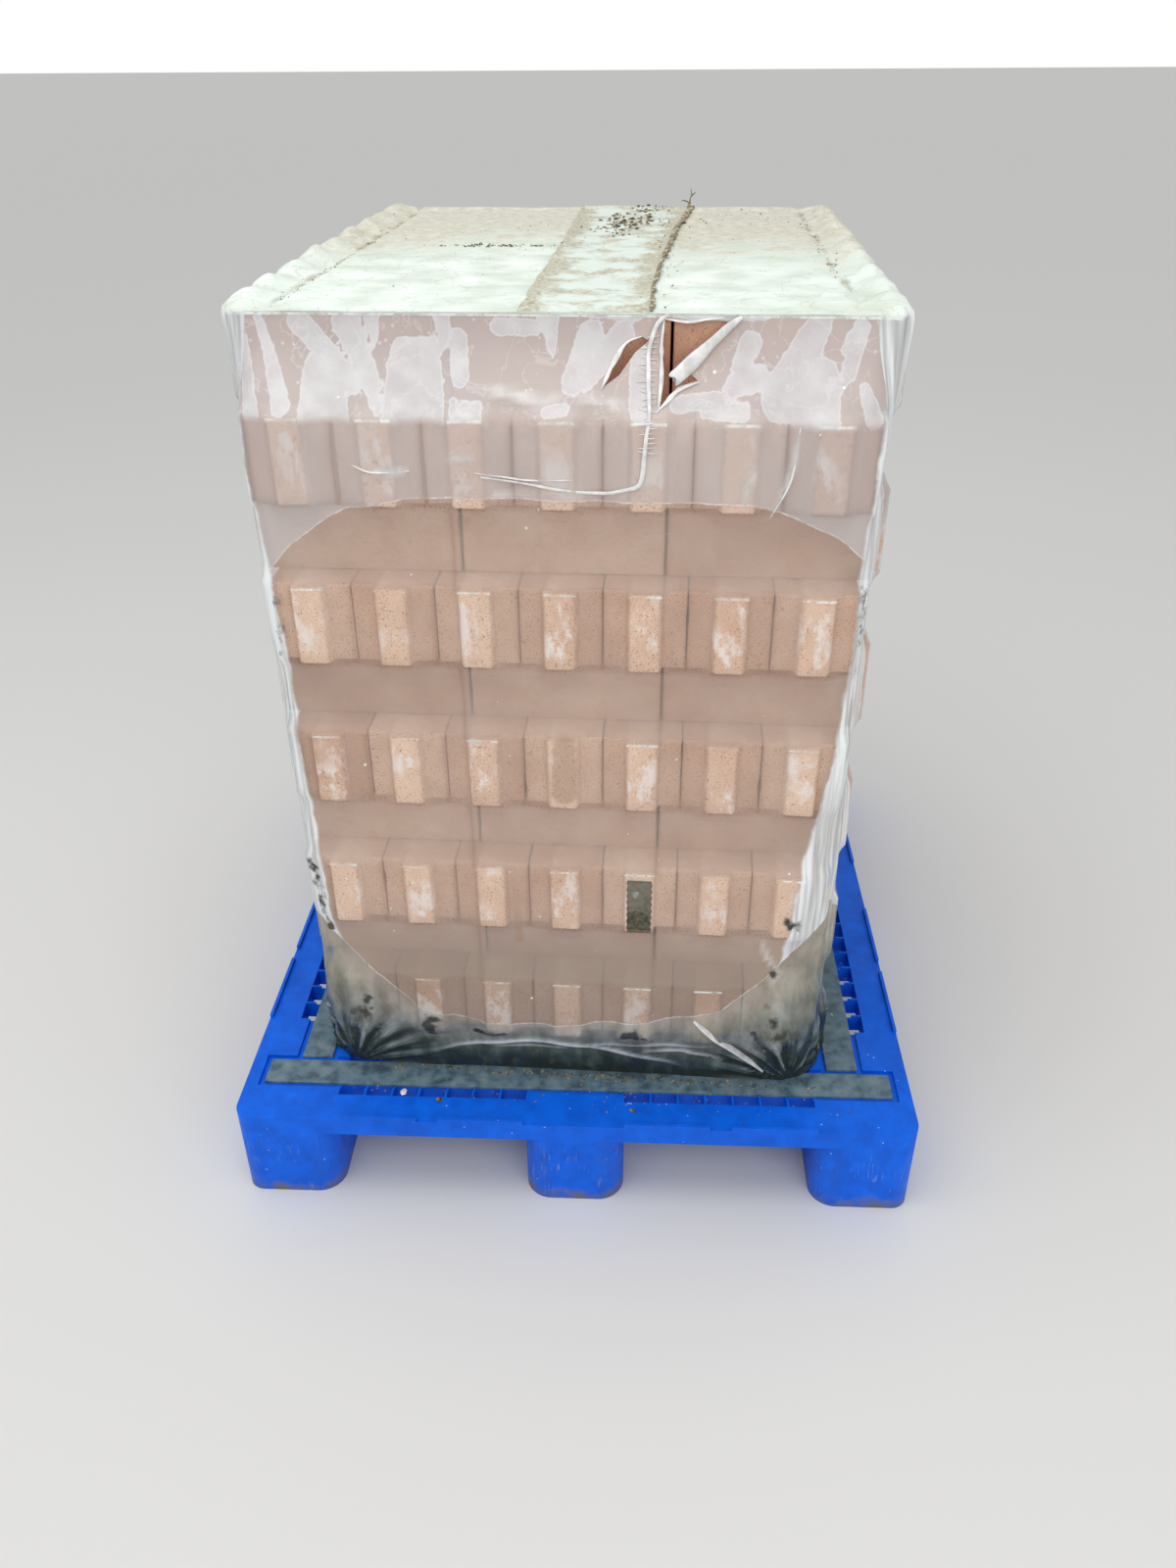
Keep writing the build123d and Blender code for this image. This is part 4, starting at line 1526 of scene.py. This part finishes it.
        made["soil"] = np.where(lid > 0, v - edge_of_soil, 0)
        groove = 6 * MM - np.abs(np.abs(u) - 322 * MM - value_noise(v / (60 * MM), 0, 27) * 4 * MM)
        made["groove"] = np.where(lid > 0, groove, FAR_OUT)
        return made

    def front_depth(self, u: float, w: float) -> float:
        """Return v of the front film at a place seen from the front."""
        patch = self.front_patch
        heights = self.levels()
        level = float(np.interp(w, heights, np.arange(len(heights))))
        row = min(int(level), len(patch) - 2)
        line = patch[row] * (row + 1 - level) + patch[row + 1] * (level - row)
        return float(np.interp(u, line[:, 0], line[:, 1]))

    def cut(self, piece: Object, outline: Points) -> None:
        """Cut a convex tear out of the front film.

        Args:
            piece: the hood, still in the load's axes.
            outline: corners of the tear as u and w in millimetres, counted against the clock.
        """
        work = bmesh.new()
        work.from_mesh(piece.data)
        corners = [Vector((u * MM, 0, w * MM)) for u, w in outline]
        margin, behind = 10 * MM, -440 * MM
        low_u, high_u = min(c.x for c in corners) - margin, max(c.x for c in corners) + margin
        low_w, high_w = min(c.z for c in corners) - margin, max(c.z for c in corners) + margin

        def near(place: Vector) -> bool:
            """Tell whether a place lies on the front film near the tear."""
            return place.y < behind and low_u < place.x < high_u and low_w < place.z < high_w

        def nearby() -> list:
            """Return the faces near the tear."""
            return [face for face in work.faces if near(face.calc_center_median())]

        inward = []
        for index, corner in enumerate(corners):
            after = corners[(index + 1) % len(corners)]
            normal = (after - corner).cross(Vector((0, 1, 0))).normalized()
            inward.append((corner, normal))
            faces = nearby()
            edges = {e for f in faces for e in f.edges}
            verts = {p for f in faces for p in f.verts}
            bmesh.ops.bisect_plane(work, geom=faces + list(edges) + list(verts), dist=1e-6,
                                   plane_co=corner, plane_no=normal)
        gone = []
        for face in nearby():
            centre = face.calc_center_median()
            flat = Vector((centre.x, 0, centre.z))
            if all(normal.dot(flat - corner) > 0 for corner, normal in inward):
                gone.append(face)
        bmesh.ops.delete(work, geom=gone, context="FACES")
        work.to_mesh(piece.data)
        work.free()

    def build(self) -> Object:
        """Build the hood as one open sheet."""
        points, faces, fields, laid = self.shape()
        piece = mesh_object("film_hood", points, faces, self.film)
        for name, values in fields.items():
            store(piece, name, values)
        layer = piece.data.uv_layers.new(name="film")
        corners = np.zeros(len(piece.data.loops), int)
        piece.data.loops.foreach_get("vertex_index", corners)
        layer.data.foreach_set("uv", laid[corners].ravel())
        for tear in TEARS:
            self.cut(piece, tear)
        return finish_piece(piece, ["shrink_hood"])


# Tears in the front of the hood's top band, as u and w in millimetres
TEARS: tuple[Points, ...] = (
    ((112, 1024), (136, 1036), (160, 1056), (184, 1079), (178, 1083), (113, 1083)),
    ((110, 1000), (130, 1021), (136, 1036), (111, 1030)),
    ((128, 1020), (151, 1026), (137, 1037)),
    ((48, 1018), (66, 1030), (62, 1045)),
    ((66, 1030), (83, 1052), (74, 1061), (62, 1045)),
    ((83, 1052), (97, 1063), (90, 1067), (74, 1061)),
)


@dataclass
class FilmTrim:
    """The weld seam, the rolled flap, the ribbon and the fold band of the hood."""

    hood: ShrinkHood
    white: Material = made_of(WeldedFilm)
    dirty: Material = made_of(FoldedFilm)
    tree: Tree = field(init=False)

    def on_front(self, corners: Points, lift: float, step: float) -> Array:
        """Return points along a smooth line outside the front film.

        Args:
            corners: the places that the line follows, as u and w in millimetres.
            lift: how far it lies off the film.
            step: distance between the points returned.

        Returns:
            The evenly spaced points.
        """
        depth = self.hood.front_depth
        return self.path([(u * MM, depth(u * MM, w * MM) - lift, w * MM) for u, w in corners], step)

    def on_lid(self, u: float, v: float, lift: float) -> Triple:
        """Return a point lying lift over the top film, for a place in millimetres."""
        return (u * MM, v * MM, float(self.hood.lid_height(u * MM, v * MM)) + lift)

    def path(self, corners: Points, step: float) -> Array:
        """Return points along a smooth line through corners.

        Args:
            corners: the points that the line follows.
            step: distance between the points returned.

        Returns:
            The evenly spaced points.
        """
        places = np.array(corners, float)
        before, after = 2 * places[0] - places[1], 2 * places[-1] - places[-2]
        places = np.vstack([before, places, after])
        line = []
        for index in range(1, len(places) - 2):
            a, b, c, d = places[index - 1:index + 3]
            pieces = max(int(np.linalg.norm(c - b) / step), 2)
            for t in np.linspace(0, 1, pieces, endpoint=False):
                line.append(0.5 * (2 * b + (c - a) * t + (2 * a - 5 * b + 4 * c - d) * t * t
                                   + (3 * b - a - 3 * c + d) * t ** 3))
        line.append(places[-2])
        return np.array(line)

    def strip_tree(self) -> Tree:
        """Build the tree that sweeps a flat strip along a path, standing off a stored direction."""
        tree = new_tree("strip_on_path", {"Height": "Float", "Thickness": "Float", "Film": "Material"})
        add = partial(put, tree)
        line = add("GeometryNodeMeshToCurve", links={"Mesh": "@Geometry"})
        stand = add("named", "stand", data_type="FLOAT_VECTOR")
        turned = add("GeometryNodeSetCurveNormal", links={"Curve": line, "Normal": stand}, mode="FREE")
        ring = add("GeometryNodeCurvePrimitiveCircle", links={"Resolution": 10, "Radius": 0.5})
        across = add("ShaderNodeCombineXYZ", links={"X": "@Thickness", "Y": "@Height", "Z": 1.0})
        profile = add("GeometryNodeTransform", links={"Geometry": ring, "Scale": across})
        size = add("named", "size", data_type="FLOAT")
        swept = add("GeometryNodeCurveToMesh",
                    links={"Curve": turned, "Profile Curve": profile, "Scale": size, "Fill Caps": True})
        return end_tree(tree, swept, "@Film")

    def strip(self, name: str, lines: Sequence[Array], stand: Array, size: Array, height: float, thickness: float,
              film: Material) -> Object:
        """Sweep a strip along each of some lines.

        Args:
            name: the piece's name.
            lines: the middle of each strip.
            stand: the direction of its width, one for all or one for each point.
            size: its scale at each point of all lines in turn.
            height: its width at scale 1.
            thickness: its thickness at scale 1.
            film: its finish.

        Returns:
            The finished piece.
        """
        line = np.concatenate(lines)
        lasts = set(np.cumsum([len(part) for part in lines]) - 1)
        carrier = mesh_object(name + "_line", line, edges=[(k, k + 1) for k in range(len(line)) if k not in lasts])
        store(carrier, "stand", np.broadcast_to(stand, (len(line), 3)))
        store(carrier, "size", size)
        add_tree(carrier, self.tree, {"Height": height, "Thickness": thickness, "Film": film})
        piece = settled(carrier, name)
        piece.data.polygons.foreach_set("use_smooth", [True] * len(piece.data.polygons))
        return finish_piece(piece)

    def seam(self) -> Object:
        """Build the weld seam that stands off the front film."""
        line = self.on_front(SEAM, 2.0 * MM, 4 * MM)
        count = np.arange(len(line))
        wave = value_noise(count / 5, 0, 31)
        line[:, 0] += wave * 1.0 * MM
        line[:, 2] += np.roll(wave, 3) * 0.8 * MM
        size = np.interp(count / count[-1], [0, 0.05, 0.55, 1], [0.7, 1.1, 1.0, 0.4]) * (1 + 0.2 * wave)
        stand = np.column_stack([0.3 * wave, -1 + 0 * wave, 0.2 * np.roll(wave, 2)])
        return self.strip("weld_seam", [line], stand, size, 4.6 * MM, 1.9 * MM, self.white)

    def ruffles(self) -> Object:
        """Build the short gathers that the seam pulls into the film beside it."""
        chance = np.random.default_rng(41)
        lines, sizes = [], []
        for w in np.arange(958, 1072, 5.2):
            left, right = chance.uniform(2, 13), chance.uniform(2, 13)
            drop = chance.uniform(-2.5, 2.5)
            seam_u = float(np.interp(w, [950, 982, 1012, 1054, 1087], [100, 101, 97, 98, 101]))
            right = chance.uniform(8, 11) if w > 1008 else right
            corners = [(seam_u - left, w - drop), (seam_u, w), (seam_u + right, w + drop * 0.6)]
            line = self.on_front(corners, 0.9 * MM, 2.5 * MM)
            lines.append(line)
            sizes.append(np.sin(np.pi * (np.arange(len(line)) + 0.6) / len(line)) ** 0.7 * chance.uniform(0.6, 1.2))
        return self.strip("seam_ruffles", lines, np.array([0.0, -0.4, 1.0]), np.concatenate(sizes),
                          1.7 * MM, 0.9 * MM, self.white)

    def torn_edges(self) -> Object:
        """Build the thin curled edges of the tears."""
        routes = (
            [(108, 999), (119, 1008), (131, 1018), (152, 1025)],
            [(47, 1017), (61, 1044), (73, 1061), (90, 1068)],
            [(114, 1085), (138, 1082), (160, 1085), (178, 1086)],
            [(110, 1002), (112, 1030), (111, 1060), (113, 1083)],
        )
        lines = [self.on_front(route, 1.4 * MM, 2.5 * MM) for route in routes]
        sizes = []
        for index, line in enumerate(lines):
            count = np.arange(len(line))
            swell = np.sin(np.pi * (count + 0.7) / (len(line) + 0.4)) ** 0.6
            sizes.append(swell * (1 + 0.35 * value_noise(count / 3, 0, 43 + index)))
        return self.strip("torn_edges", lines, np.array([0.3, -0.5, 1.0]), np.concatenate(sizes),
                          4.8 * MM, 1.7 * MM, self.white)

    def ribbon(self) -> Object:
        """Build the pale loose ribbon low on the front."""
        corners = [(182, 143), (205, 120), (234, 86), (262, 52), (290, 24)]
        line = self.on_front(corners, 3.0 * MM, 5 * MM)
        size = np.interp(np.linspace(0, 1, len(line)), [0, 0.12, 0.3, 0.75, 1], [0.35, 0.75, 1.15, 0.95, 0.3])
        return self.strip("loose_ribbon", [line], np.array([0.8, -0.35, 0.6]), size, 13 * MM, 1.2 * MM, self.white)

    def ties(self) -> list[Object]:
        """Build the thin white film threads that cross the row under the top."""
        made = []
        for index, corners in enumerate((
                [(-92, 933), (-60, 928), (-30, 925), (18, 927)],
                [(-228, 939), (-205, 932), (-164, 933)],
                [(262, 985), (256, 930), (236, 884)])):
            line = self.on_front(corners, 1.2 * MM, 4 * MM)
            count = np.arange(len(line))
            size = np.sin(np.pi * (count + 1) / (len(line) + 1)) ** 0.5
            made.append(self.strip(f"film_tie_{index + 1}", [line], np.array([0.0, -0.5, 1.0]), size,
                                   2.6 * MM, 1.0 * MM, self.white))
        return made

    def flap(self) -> Object:
        """Build the torn flap that has rolled up beside the opening, wider towards its lower end."""
        route = [(196, 1088), (183, 1079), (168, 1066), (150, 1050), (134, 1036), (125, 1029)]
        line = self.on_front(route, 0.0, 2.5 * MM)
        turns = np.linspace(1.5 * math.pi, -0.6 * math.pi, 26)
        along = np.gradient(line, axis=0)
        along /= np.linalg.norm(along, axis=1, keepdims=True)
        vertices, count, width = [], len(line), len(turns)
        for index, place in enumerate(line):
            share = index / (count - 1)
            radius = (np.interp(share, [0, 0.25, 0.75, 1], [1.4, 5.0, 9.0, 10.5]) + 0.7 * math.sin(11 * share)) * MM
            aside = np.cross(along[index], np.array([0, 1.0, 0]))
            centre = place - np.array([0, radius * 0.45 + 1.6 * MM, 0])
            for step, turn in enumerate(turns):
                size = radius * (0.72 + 0.28 * step / (width - 1))
                ragged = 2.5 * MM * math.sin(step * 0.9) * smooth(0.9, 1.0, share)
                vertices.append(centre + aside * math.cos(turn) * size + along[index] * ragged
                                - np.array([0, math.sin(turn) * size * 0.45, 0]))
        piece = mesh_object("rolled_flap_flat", vertices, quads(count, width), self.white)
        piece.modifiers.new("thickness", "SOLIDIFY").thickness = 0.4 * MM
        return finish_piece(settled(piece, "rolled_flap"))

    def fold_edge(self, v: Values) -> Values:
        """Return u of the fold band's right edge at each depth, in millimetres."""
        return np.interp(v, [-446, -290, -78, 184, 450], [99, 98, 106, 119, 141])

    def fold_band(self) -> Object:
        """Build the doubled band of film that lies across the top from front to back."""
        rows, columns = 150, 34
        vertices, middle = [], []
        for v in np.linspace(-446, 446, rows):
            right = float(self.fold_edge(v))
            left = -44 + 2.5 * float(value_noise(v / 35, 0, 33))
            for share in np.linspace(0, 1, columns):
                u = left + (right - left) * share
                bulge = 1.2 + 0.8 * float(value_noise(u / 16, v / 30, 34))
                near = min(share, 1 - share) * (right - left)
                lift = 0.5 + bulge * min(near / 6, 1) + 2.2 * hump(near - 5, 4)
                lift = 0.3 + lift * min((446 - abs(v)) / 14, 1)
                vertices.append(self.on_lid(u, v, lift * MM))
                middle.append(near * MM)
        piece = mesh_object("top_fold_band", vertices, quads(rows, columns), self.dirty)
        store(piece, "near_edge", middle)
        return finish_piece(piece)

    def fold_fin(self) -> Object:
        """Build the crumpled dirty fin along the band's right edge."""
        depths = np.linspace(-444, 448, 150)
        sway = value_noise(depths / 22, 0, 35)
        line = np.array([self.on_lid(float(self.fold_edge(v)) + 1.5 * s, v, 3.2 * MM) for v, s in zip(depths, sway)])
        crumple = value_noise(depths / 9, 0, 37)
        size = np.interp(depths, [-444, -300, 0, 300, 448], [0.6, 0.7, 1.0, 1.3, 1.6])
        size = size * (1 + 0.4 * sway + 0.4 * crumple)
        stand = np.column_stack([0.5 * sway, 0 * sway, 1 + 0 * sway])
        dirt = LeafLitter("fin_dirt", "#857d66", "#d2ccb6").material()
        return self.strip("top_fold_fin", [line], stand, size, 6.0 * MM, 2.6 * MM, dirt)

    def build(self) -> list[Object]:
        """Build every trim piece and return them."""
        self.tree = self.strip_tree()
        return [self.seam(), self.ruffles(), self.torn_edges(), self.ribbon(), *self.ties(), self.flap(),
                self.fold_band(), self.fold_fin()]


# The weld seam's course on the front, as u and w in millimetres
SEAM: Points = ((117, 1090), (106, 1080), (98, 1054), (98, 1024), (101, 995), (98, 975), (95, 948), (90, 922),
                (67, 914), (35, 912), (-9, 918), (-50, 923), (-84, 929))


@dataclass
class TrappedDirt:
    """The dark rectangle of dirty water caught between the film and one tongue."""

    centre_u: float = 100.5 * MM
    low: float = 298 * MM
    high: float = 385 * MM
    half_width: float = 16.5 * MM
    thickness: float = 0.45 * MM
    tongue_face: float = -495.5 * MM - BRICK.tongue_depth
    drop_depth: float = 1.9 * MM
    drop_radius: float = 5.2 * MM

    def build(self) -> None:
        """Build the flat patch and the droplet near its top."""
        rows, columns = 30, 12
        vertices = []
        for a in range(rows + 1):
            for b in range(columns + 1):
                up, across = a / rows, b / columns * 2 - 1
                wobble = 0.8 * MM * math.sin(a * 1.7 + b * 0.4) * (abs(across) > 0.99)
                thick = self.thickness * (0.5 + 0.5 * min(1.0, 6 * (1 - abs(across)), 12 * min(up, 1 - up)))
                vertices.append((self.centre_u + across * self.half_width + wobble, self.tongue_face - thick,
                                 self.low + (self.high - self.low) * up))
        patch = mesh_object("trapped_dirt", vertices, quads(rows + 1, columns + 1), DirtyWater().material())
        places = np.array(vertices)
        from_side = self.half_width - np.abs(places[:, 0] - self.centre_u)
        from_end = np.minimum(places[:, 2] - self.low, self.high - places[:, 2])
        store(patch, "from_edge", np.minimum(from_side, from_end))
        finish_piece(patch)
        self.droplet()

    def droplet(self) -> None:
        """Build the bright drop that hangs near the patch's top."""
        centre = np.array([self.centre_u - 5 * MM, self.tongue_face - 0.9 * MM, self.high - 22 * MM])
        rings, points = 5, 14
        vertices = [centre - np.array([0, self.drop_depth, 0])]
        for ring in range(1, rings + 1):
            tilt = ring / rings * math.pi / 2
            for point in range(points):
                turn = point / points * 2 * math.pi
                sideways = self.drop_radius * math.sin(tilt) * (1 + 0.08 * math.sin(3 * turn))
                vertices.append(centre + np.array([math.cos(turn) * sideways, -self.drop_depth * math.cos(tilt),
                                                   math.sin(turn) * sideways * 1.15]))
        faces = [(0, 1 + (point + 1) % points, 1 + point) for point in range(points)]
        clear = WeldedFilm("clear_droplet", "#c9d4cc", "#8c9790", 0.6).material()
        drop = mesh_object("dirt_droplet", vertices, faces + quads(rings, points, True, 1), clear)
        finish_piece(drop)


@dataclass(frozen=True)
class LitterPatch:
    """A scatter of crumbs round one place, in millimetres of the load's axes."""

    u: float
    v: float
    wide: float
    deep: float
    count: int
    small: float
    large: float


# Rows of crumb patches, in the order of LitterPatch's fields
# On the top: clusters on the fold band, a line left of it, the rim's grooves and a few strays
LID_LITTER: Points = (
    (28, 185, 18, 34, 60, 3, 11), (44, 300, 22, 40, 70, 3, 13), (66, 415, 16, 18, 36, 3, 11),
    (-135, 24, 42, 7, 60, 2.5, 9), (105, 60, 7, 240, 110, 1.5, 6), (-322, -60, 4, 250, 80, 1.2, 4.5),
    (322, 40, 4, 240, 60, 1.2, 4), (0, 120, 240, 180, 120, 1, 4), (250, 350, 60, 60, 30, 1.5, 6),
)

# Along the foot of the hood and on the deck
DECK_LITTER: Points = (
    (60, -489, 150, 5, 330, 1.6, 6), (-200, -487, 80, 4, 90, 1.4, 5), (60, -530, 190, 16, 80, 1.4, 5),
    (-190, -552, 1, 1, 1, 14, 15), (97, -556, 1, 1, 1, 14, 15), (392, -150, 12, 200, 60, 1.2, 4),
    (-392, -150, 12, 200, 40, 1.2, 4), (0, 486, 200, 6, 60, 1.2, 4.5), (430, -300, 20, 140, 24, 1.2, 4),
)

# White scraps of film on the deck
DECK_SCRAPS: Points = ((-245, -541, 0.1, 0.1, 3, 9, 13), (95, -541, 2, 0.5, 2, 3, 5), (402, -300, 8, 30, 4, 3, 7))


@dataclass
class Litter:
    """Leaf crumbs, grit and a twig, scattered as loose flakes."""

    hood: ShrinkHood
    trim: FilmTrim
    brown: Material = made_of(LeafLitter)
    pattern: Object = field(init=False)
    branch: Tree = field(init=False)
    lid_half: Pair = (372 * MM, 443 * MM)
    band: Pair = (-44 * MM, 120 * MM)
    load: Triple = (384 * MM, -482 * MM, 480 * MM)
    deck_half: Pair = (490 * MM, 590 * MM)

    def flake(self) -> Object:
        """Build one irregular crumb of unit size."""
        chance = np.random.default_rng(5)
        ring = [(math.cos(a) * r, math.sin(a) * r) for a, r in
                zip(np.linspace(0, 2 * math.pi, 6, endpoint=False), chance.uniform(0.35, 0.55, 6))]
        vertices = [(x, y, 0.12 + z) for (x, y), z in zip(ring, chance.uniform(-0.04, 0.1, 6))]
        vertices += [(0.06, -0.04, 0.36), (-0.03, 0.02, 0.0)]
        faces = [(k, (k + 1) % 6, 6) for k in range(6)] + [((k + 1) % 6, k, 7) for k in range(6)]
        return mesh_object("crumb_pattern", vertices, faces, soft=False)

    def tree(self) -> Tree:
        """Build the tree that sets a crumb at each point."""
        tree = new_tree("crumb_scatter", {"Crumb": "Object", "Litter": "Material"})
        add = partial(put, tree)
        source = add("GeometryNodeObjectInfo", links={"Object": "@Crumb"}, out="Geometry")
        turn, size = (add("named", name, data_type="FLOAT_VECTOR") for name in ("turn", "size"))
        placed = add("GeometryNodeInstanceOnPoints",
                     links={"Points": "@Geometry", "Instance": source, "Rotation": turn, "Scale": size})
        return end_tree(tree, placed, "@Litter")

    def scatter(self, name: str, patches: Points, height: Callable[[float, float], Optional[float]],
                seed: int, material: Material) -> Object:
        """Scatter crumbs over patches.

        Args:
            name: the piece's name.
            patches: where the crumbs lie.
            height: gives the height under a place, or nothing where no crumb can lie.
            seed: fixes the scatter.
            material: the crumbs' finish.

        Returns:
            The finished piece.
        """
        chance = np.random.default_rng(seed)
        places, turns, sizes = [], [], []
        for patch in itertools.starmap(LitterPatch, patches):
            for _ in range(patch.count):
                u = chance.normal(patch.u, patch.wide) * MM
                v = chance.normal(patch.v, patch.deep) * MM
                turn = (chance.uniform(-0.4, 0.4), chance.uniform(-0.4, 0.4), chance.uniform(0, 6.28))
                size = chance.uniform(patch.small, patch.large) * MM
                shape = (size, size * chance.uniform(0.3, 1.0), size * chance.uniform(0.4, 1.0))
                under = height(u, v)
                if under is not None:
                    places.append((u, v, under))
                    turns.append(turn)
                    sizes.append(shape)
        carrier = mesh_object(name + "_points", places)
        store(carrier, "turn", turns)
        store(carrier, "size", sizes)
        add_tree(carrier, self.branch, {"Crumb": self.pattern, "Litter": material})
        return finish_piece(settled(carrier, name))

    def on_lid(self, u: float, v: float) -> Optional[float]:
        """Return the top film's height, or nothing off its edge."""
        if abs(u) > self.lid_half[0] or abs(v) > self.lid_half[1]:
            return None
        on_band = self.band[0] < u < self.band[1]
        return float(self.hood.lid_height(u, v)) + (2.0 * MM if on_band else 0.2 * MM)

    def on_deck(self, u: float, v: float) -> Optional[float]:
        """Return the deck's height, or nothing under the load or off the pallet."""
        half_width, front, back = self.load
        x, y, _ = POSE.place([(u, v, 0)])[0]
        off = abs(x) > self.deck_half[0] or abs(y) > self.deck_half[1]
        return None if off or abs(u) < half_width and front < v < back else 0.2 * MM

    def build(self) -> None:
        """Build the crumbs on the top, round the foot, and the few white scraps."""
        self.pattern = self.flake()
        self.branch = self.tree()
        self.scatter("top_litter", LID_LITTER, self.on_lid, 3, self.brown)
        self.scatter("deck_litter", DECK_LITTER, self.on_deck, 4, self.brown)
        scraps = WeldedFilm("film_scraps", "#f2f2ee", "#d8d8d0", 1.0).material()
        self.scatter("film_scraps", DECK_SCRAPS, self.on_deck, 9, scraps)
        bpy.data.objects.remove(self.pattern)
        self.twig()

    def twig(self) -> None:
        """Build the forked dry twig that stands at the back of the fold band."""
        foot = self.trim.on_lid(140, 441, 3 * MM)
        routes = ([(0, 0, 0), (-1, 1, 8), (1, 0, 16), (0, -1, 25)], [(1, 0, 14), (5, 0, 18), (8, 1, 20)],
                  [(0, 0, 3), (-8, -2, 7), (-15, -3, 8)])
        lines = [self.trim.path([np.array(foot) + np.array(step) * MM for step in route], 2 * MM) for route in routes]
        sizes = np.concatenate([np.linspace(1.0, 0.45, len(line)) for line in lines])
        self.trim.strip("dry_twig", lines, np.array([0.0, 1.0, 0.2]), sizes, 2.8 * MM, 2.2 * MM,
                        LeafLitter("twig_bark", "#6a5c48", "#b5a78e").material())


@dataclass(frozen=True)
class Studio:
    """Camera at the photograph's angle, plain floor and soft light."""

    camera_place: Triple = (0.0814, -1.8207, 1.4932)
    yaw: float = -0.0462
    pitch: float = 0.5532
    roll: float = -0.0067
    focal_pixels: float = 1229.1
    long_pixels: int = 1600
    sensor: float = 36.0
    # Name, place, watts and size of each light panel, and what they all face
    panels: tuple[tuple[str, Triple, float, float], ...] = (
        ("sky_panel", (-0.8, -1.2, 3.4), 46.0, 3.0), ("front_panel", (1.6, -3.2, 1.9), 21.0, 2.2))
    aim: Triple = (0.0, 0.0, 0.6)
    sky_strength: float = 0.72
    floor_half: float = 80.0

    def camera(self) -> None:
        """Set the camera by its fitted place and angles."""
        data = bpy.data.cameras.new("camera")
        data.sensor_width = self.sensor
        data.lens = self.focal_pixels * self.sensor / self.long_pixels
        data.clip_start = 0.05
        made = linked("camera", data)
        ahead = Vector((math.sin(self.yaw) * math.cos(self.pitch),
                        math.cos(self.yaw) * math.cos(self.pitch), -math.sin(self.pitch)))
        right = Vector((math.cos(self.yaw), -math.sin(self.yaw), 0))
        up = right.cross(ahead)
        turned_right = right * math.cos(self.roll) + up * math.sin(self.roll)
        turned_up = up * math.cos(self.roll) - right * math.sin(self.roll)
        turn = Matrix((turned_right, turned_up, -ahead)).transposed()
        made.matrix_world = Matrix.Translation(self.camera_place) @ turn.to_4x4()
        bpy.context.scene.camera = made

    def light(self) -> None:
        """Light the object softly from the sky and from the front left."""
        world = bpy.data.worlds.new("studio")
        bpy.context.scene.world = world
        world.use_nodes = True
        tree = world.node_tree
        tree.nodes.clear()
        seen = put(tree, "ShaderNodeLightPath", out="Is Camera Ray")
        strength = put(tree, "span", seen, 0.0, 1.0, self.sky_strength, 1.0)
        sky = put(tree, "ShaderNodeBackground", links={"Color": "#ffffff", "Strength": strength})
        put(tree, "ShaderNodeOutputWorld", links={"Surface": sky})
        for name, place, power, size in self.panels:
            data = bpy.data.lights.new(name, "AREA")
            data.energy, data.size = power, size
            made = linked(name, data)
            made.location = place
            made.rotation_euler = (Vector(self.aim) - Vector(place)).to_track_quat("-Z", "Y").to_euler()

    def floor(self) -> None:
        """Lay a plain pale floor."""
        corners = [(x * self.floor_half, y * self.floor_half, 0) for x, y in ((-1, -1), (1, -1), (1, 1), (-1, 1))]
        ground = mesh_object("floor", corners, [(0, 1, 2, 3)], PlainGround().material())

    def build(self) -> None:
        """Set up camera, light, floor and plain view settings."""
        self.camera()
        self.light()
        self.floor()
        bpy.context.scene.view_settings.view_transform = "Standard"


def main() -> None:
    """Build the pallet, the bricks, the hood and the studio, in that order."""
    logging.basicConfig(level=logging.INFO, format="%(name)s: %(message)s")
    Studio().build()
    PlasticPallet().build()
    stack = BrickStack()
    stack.build()
    hood = ShrinkHood(stack)
    film = hood.build()
    trim = FilmTrim(hood)
    trims = trim.build()
    TrappedDirt().build()
    Litter(hood, trim).build()


if __name__ == "__main__":
    main()
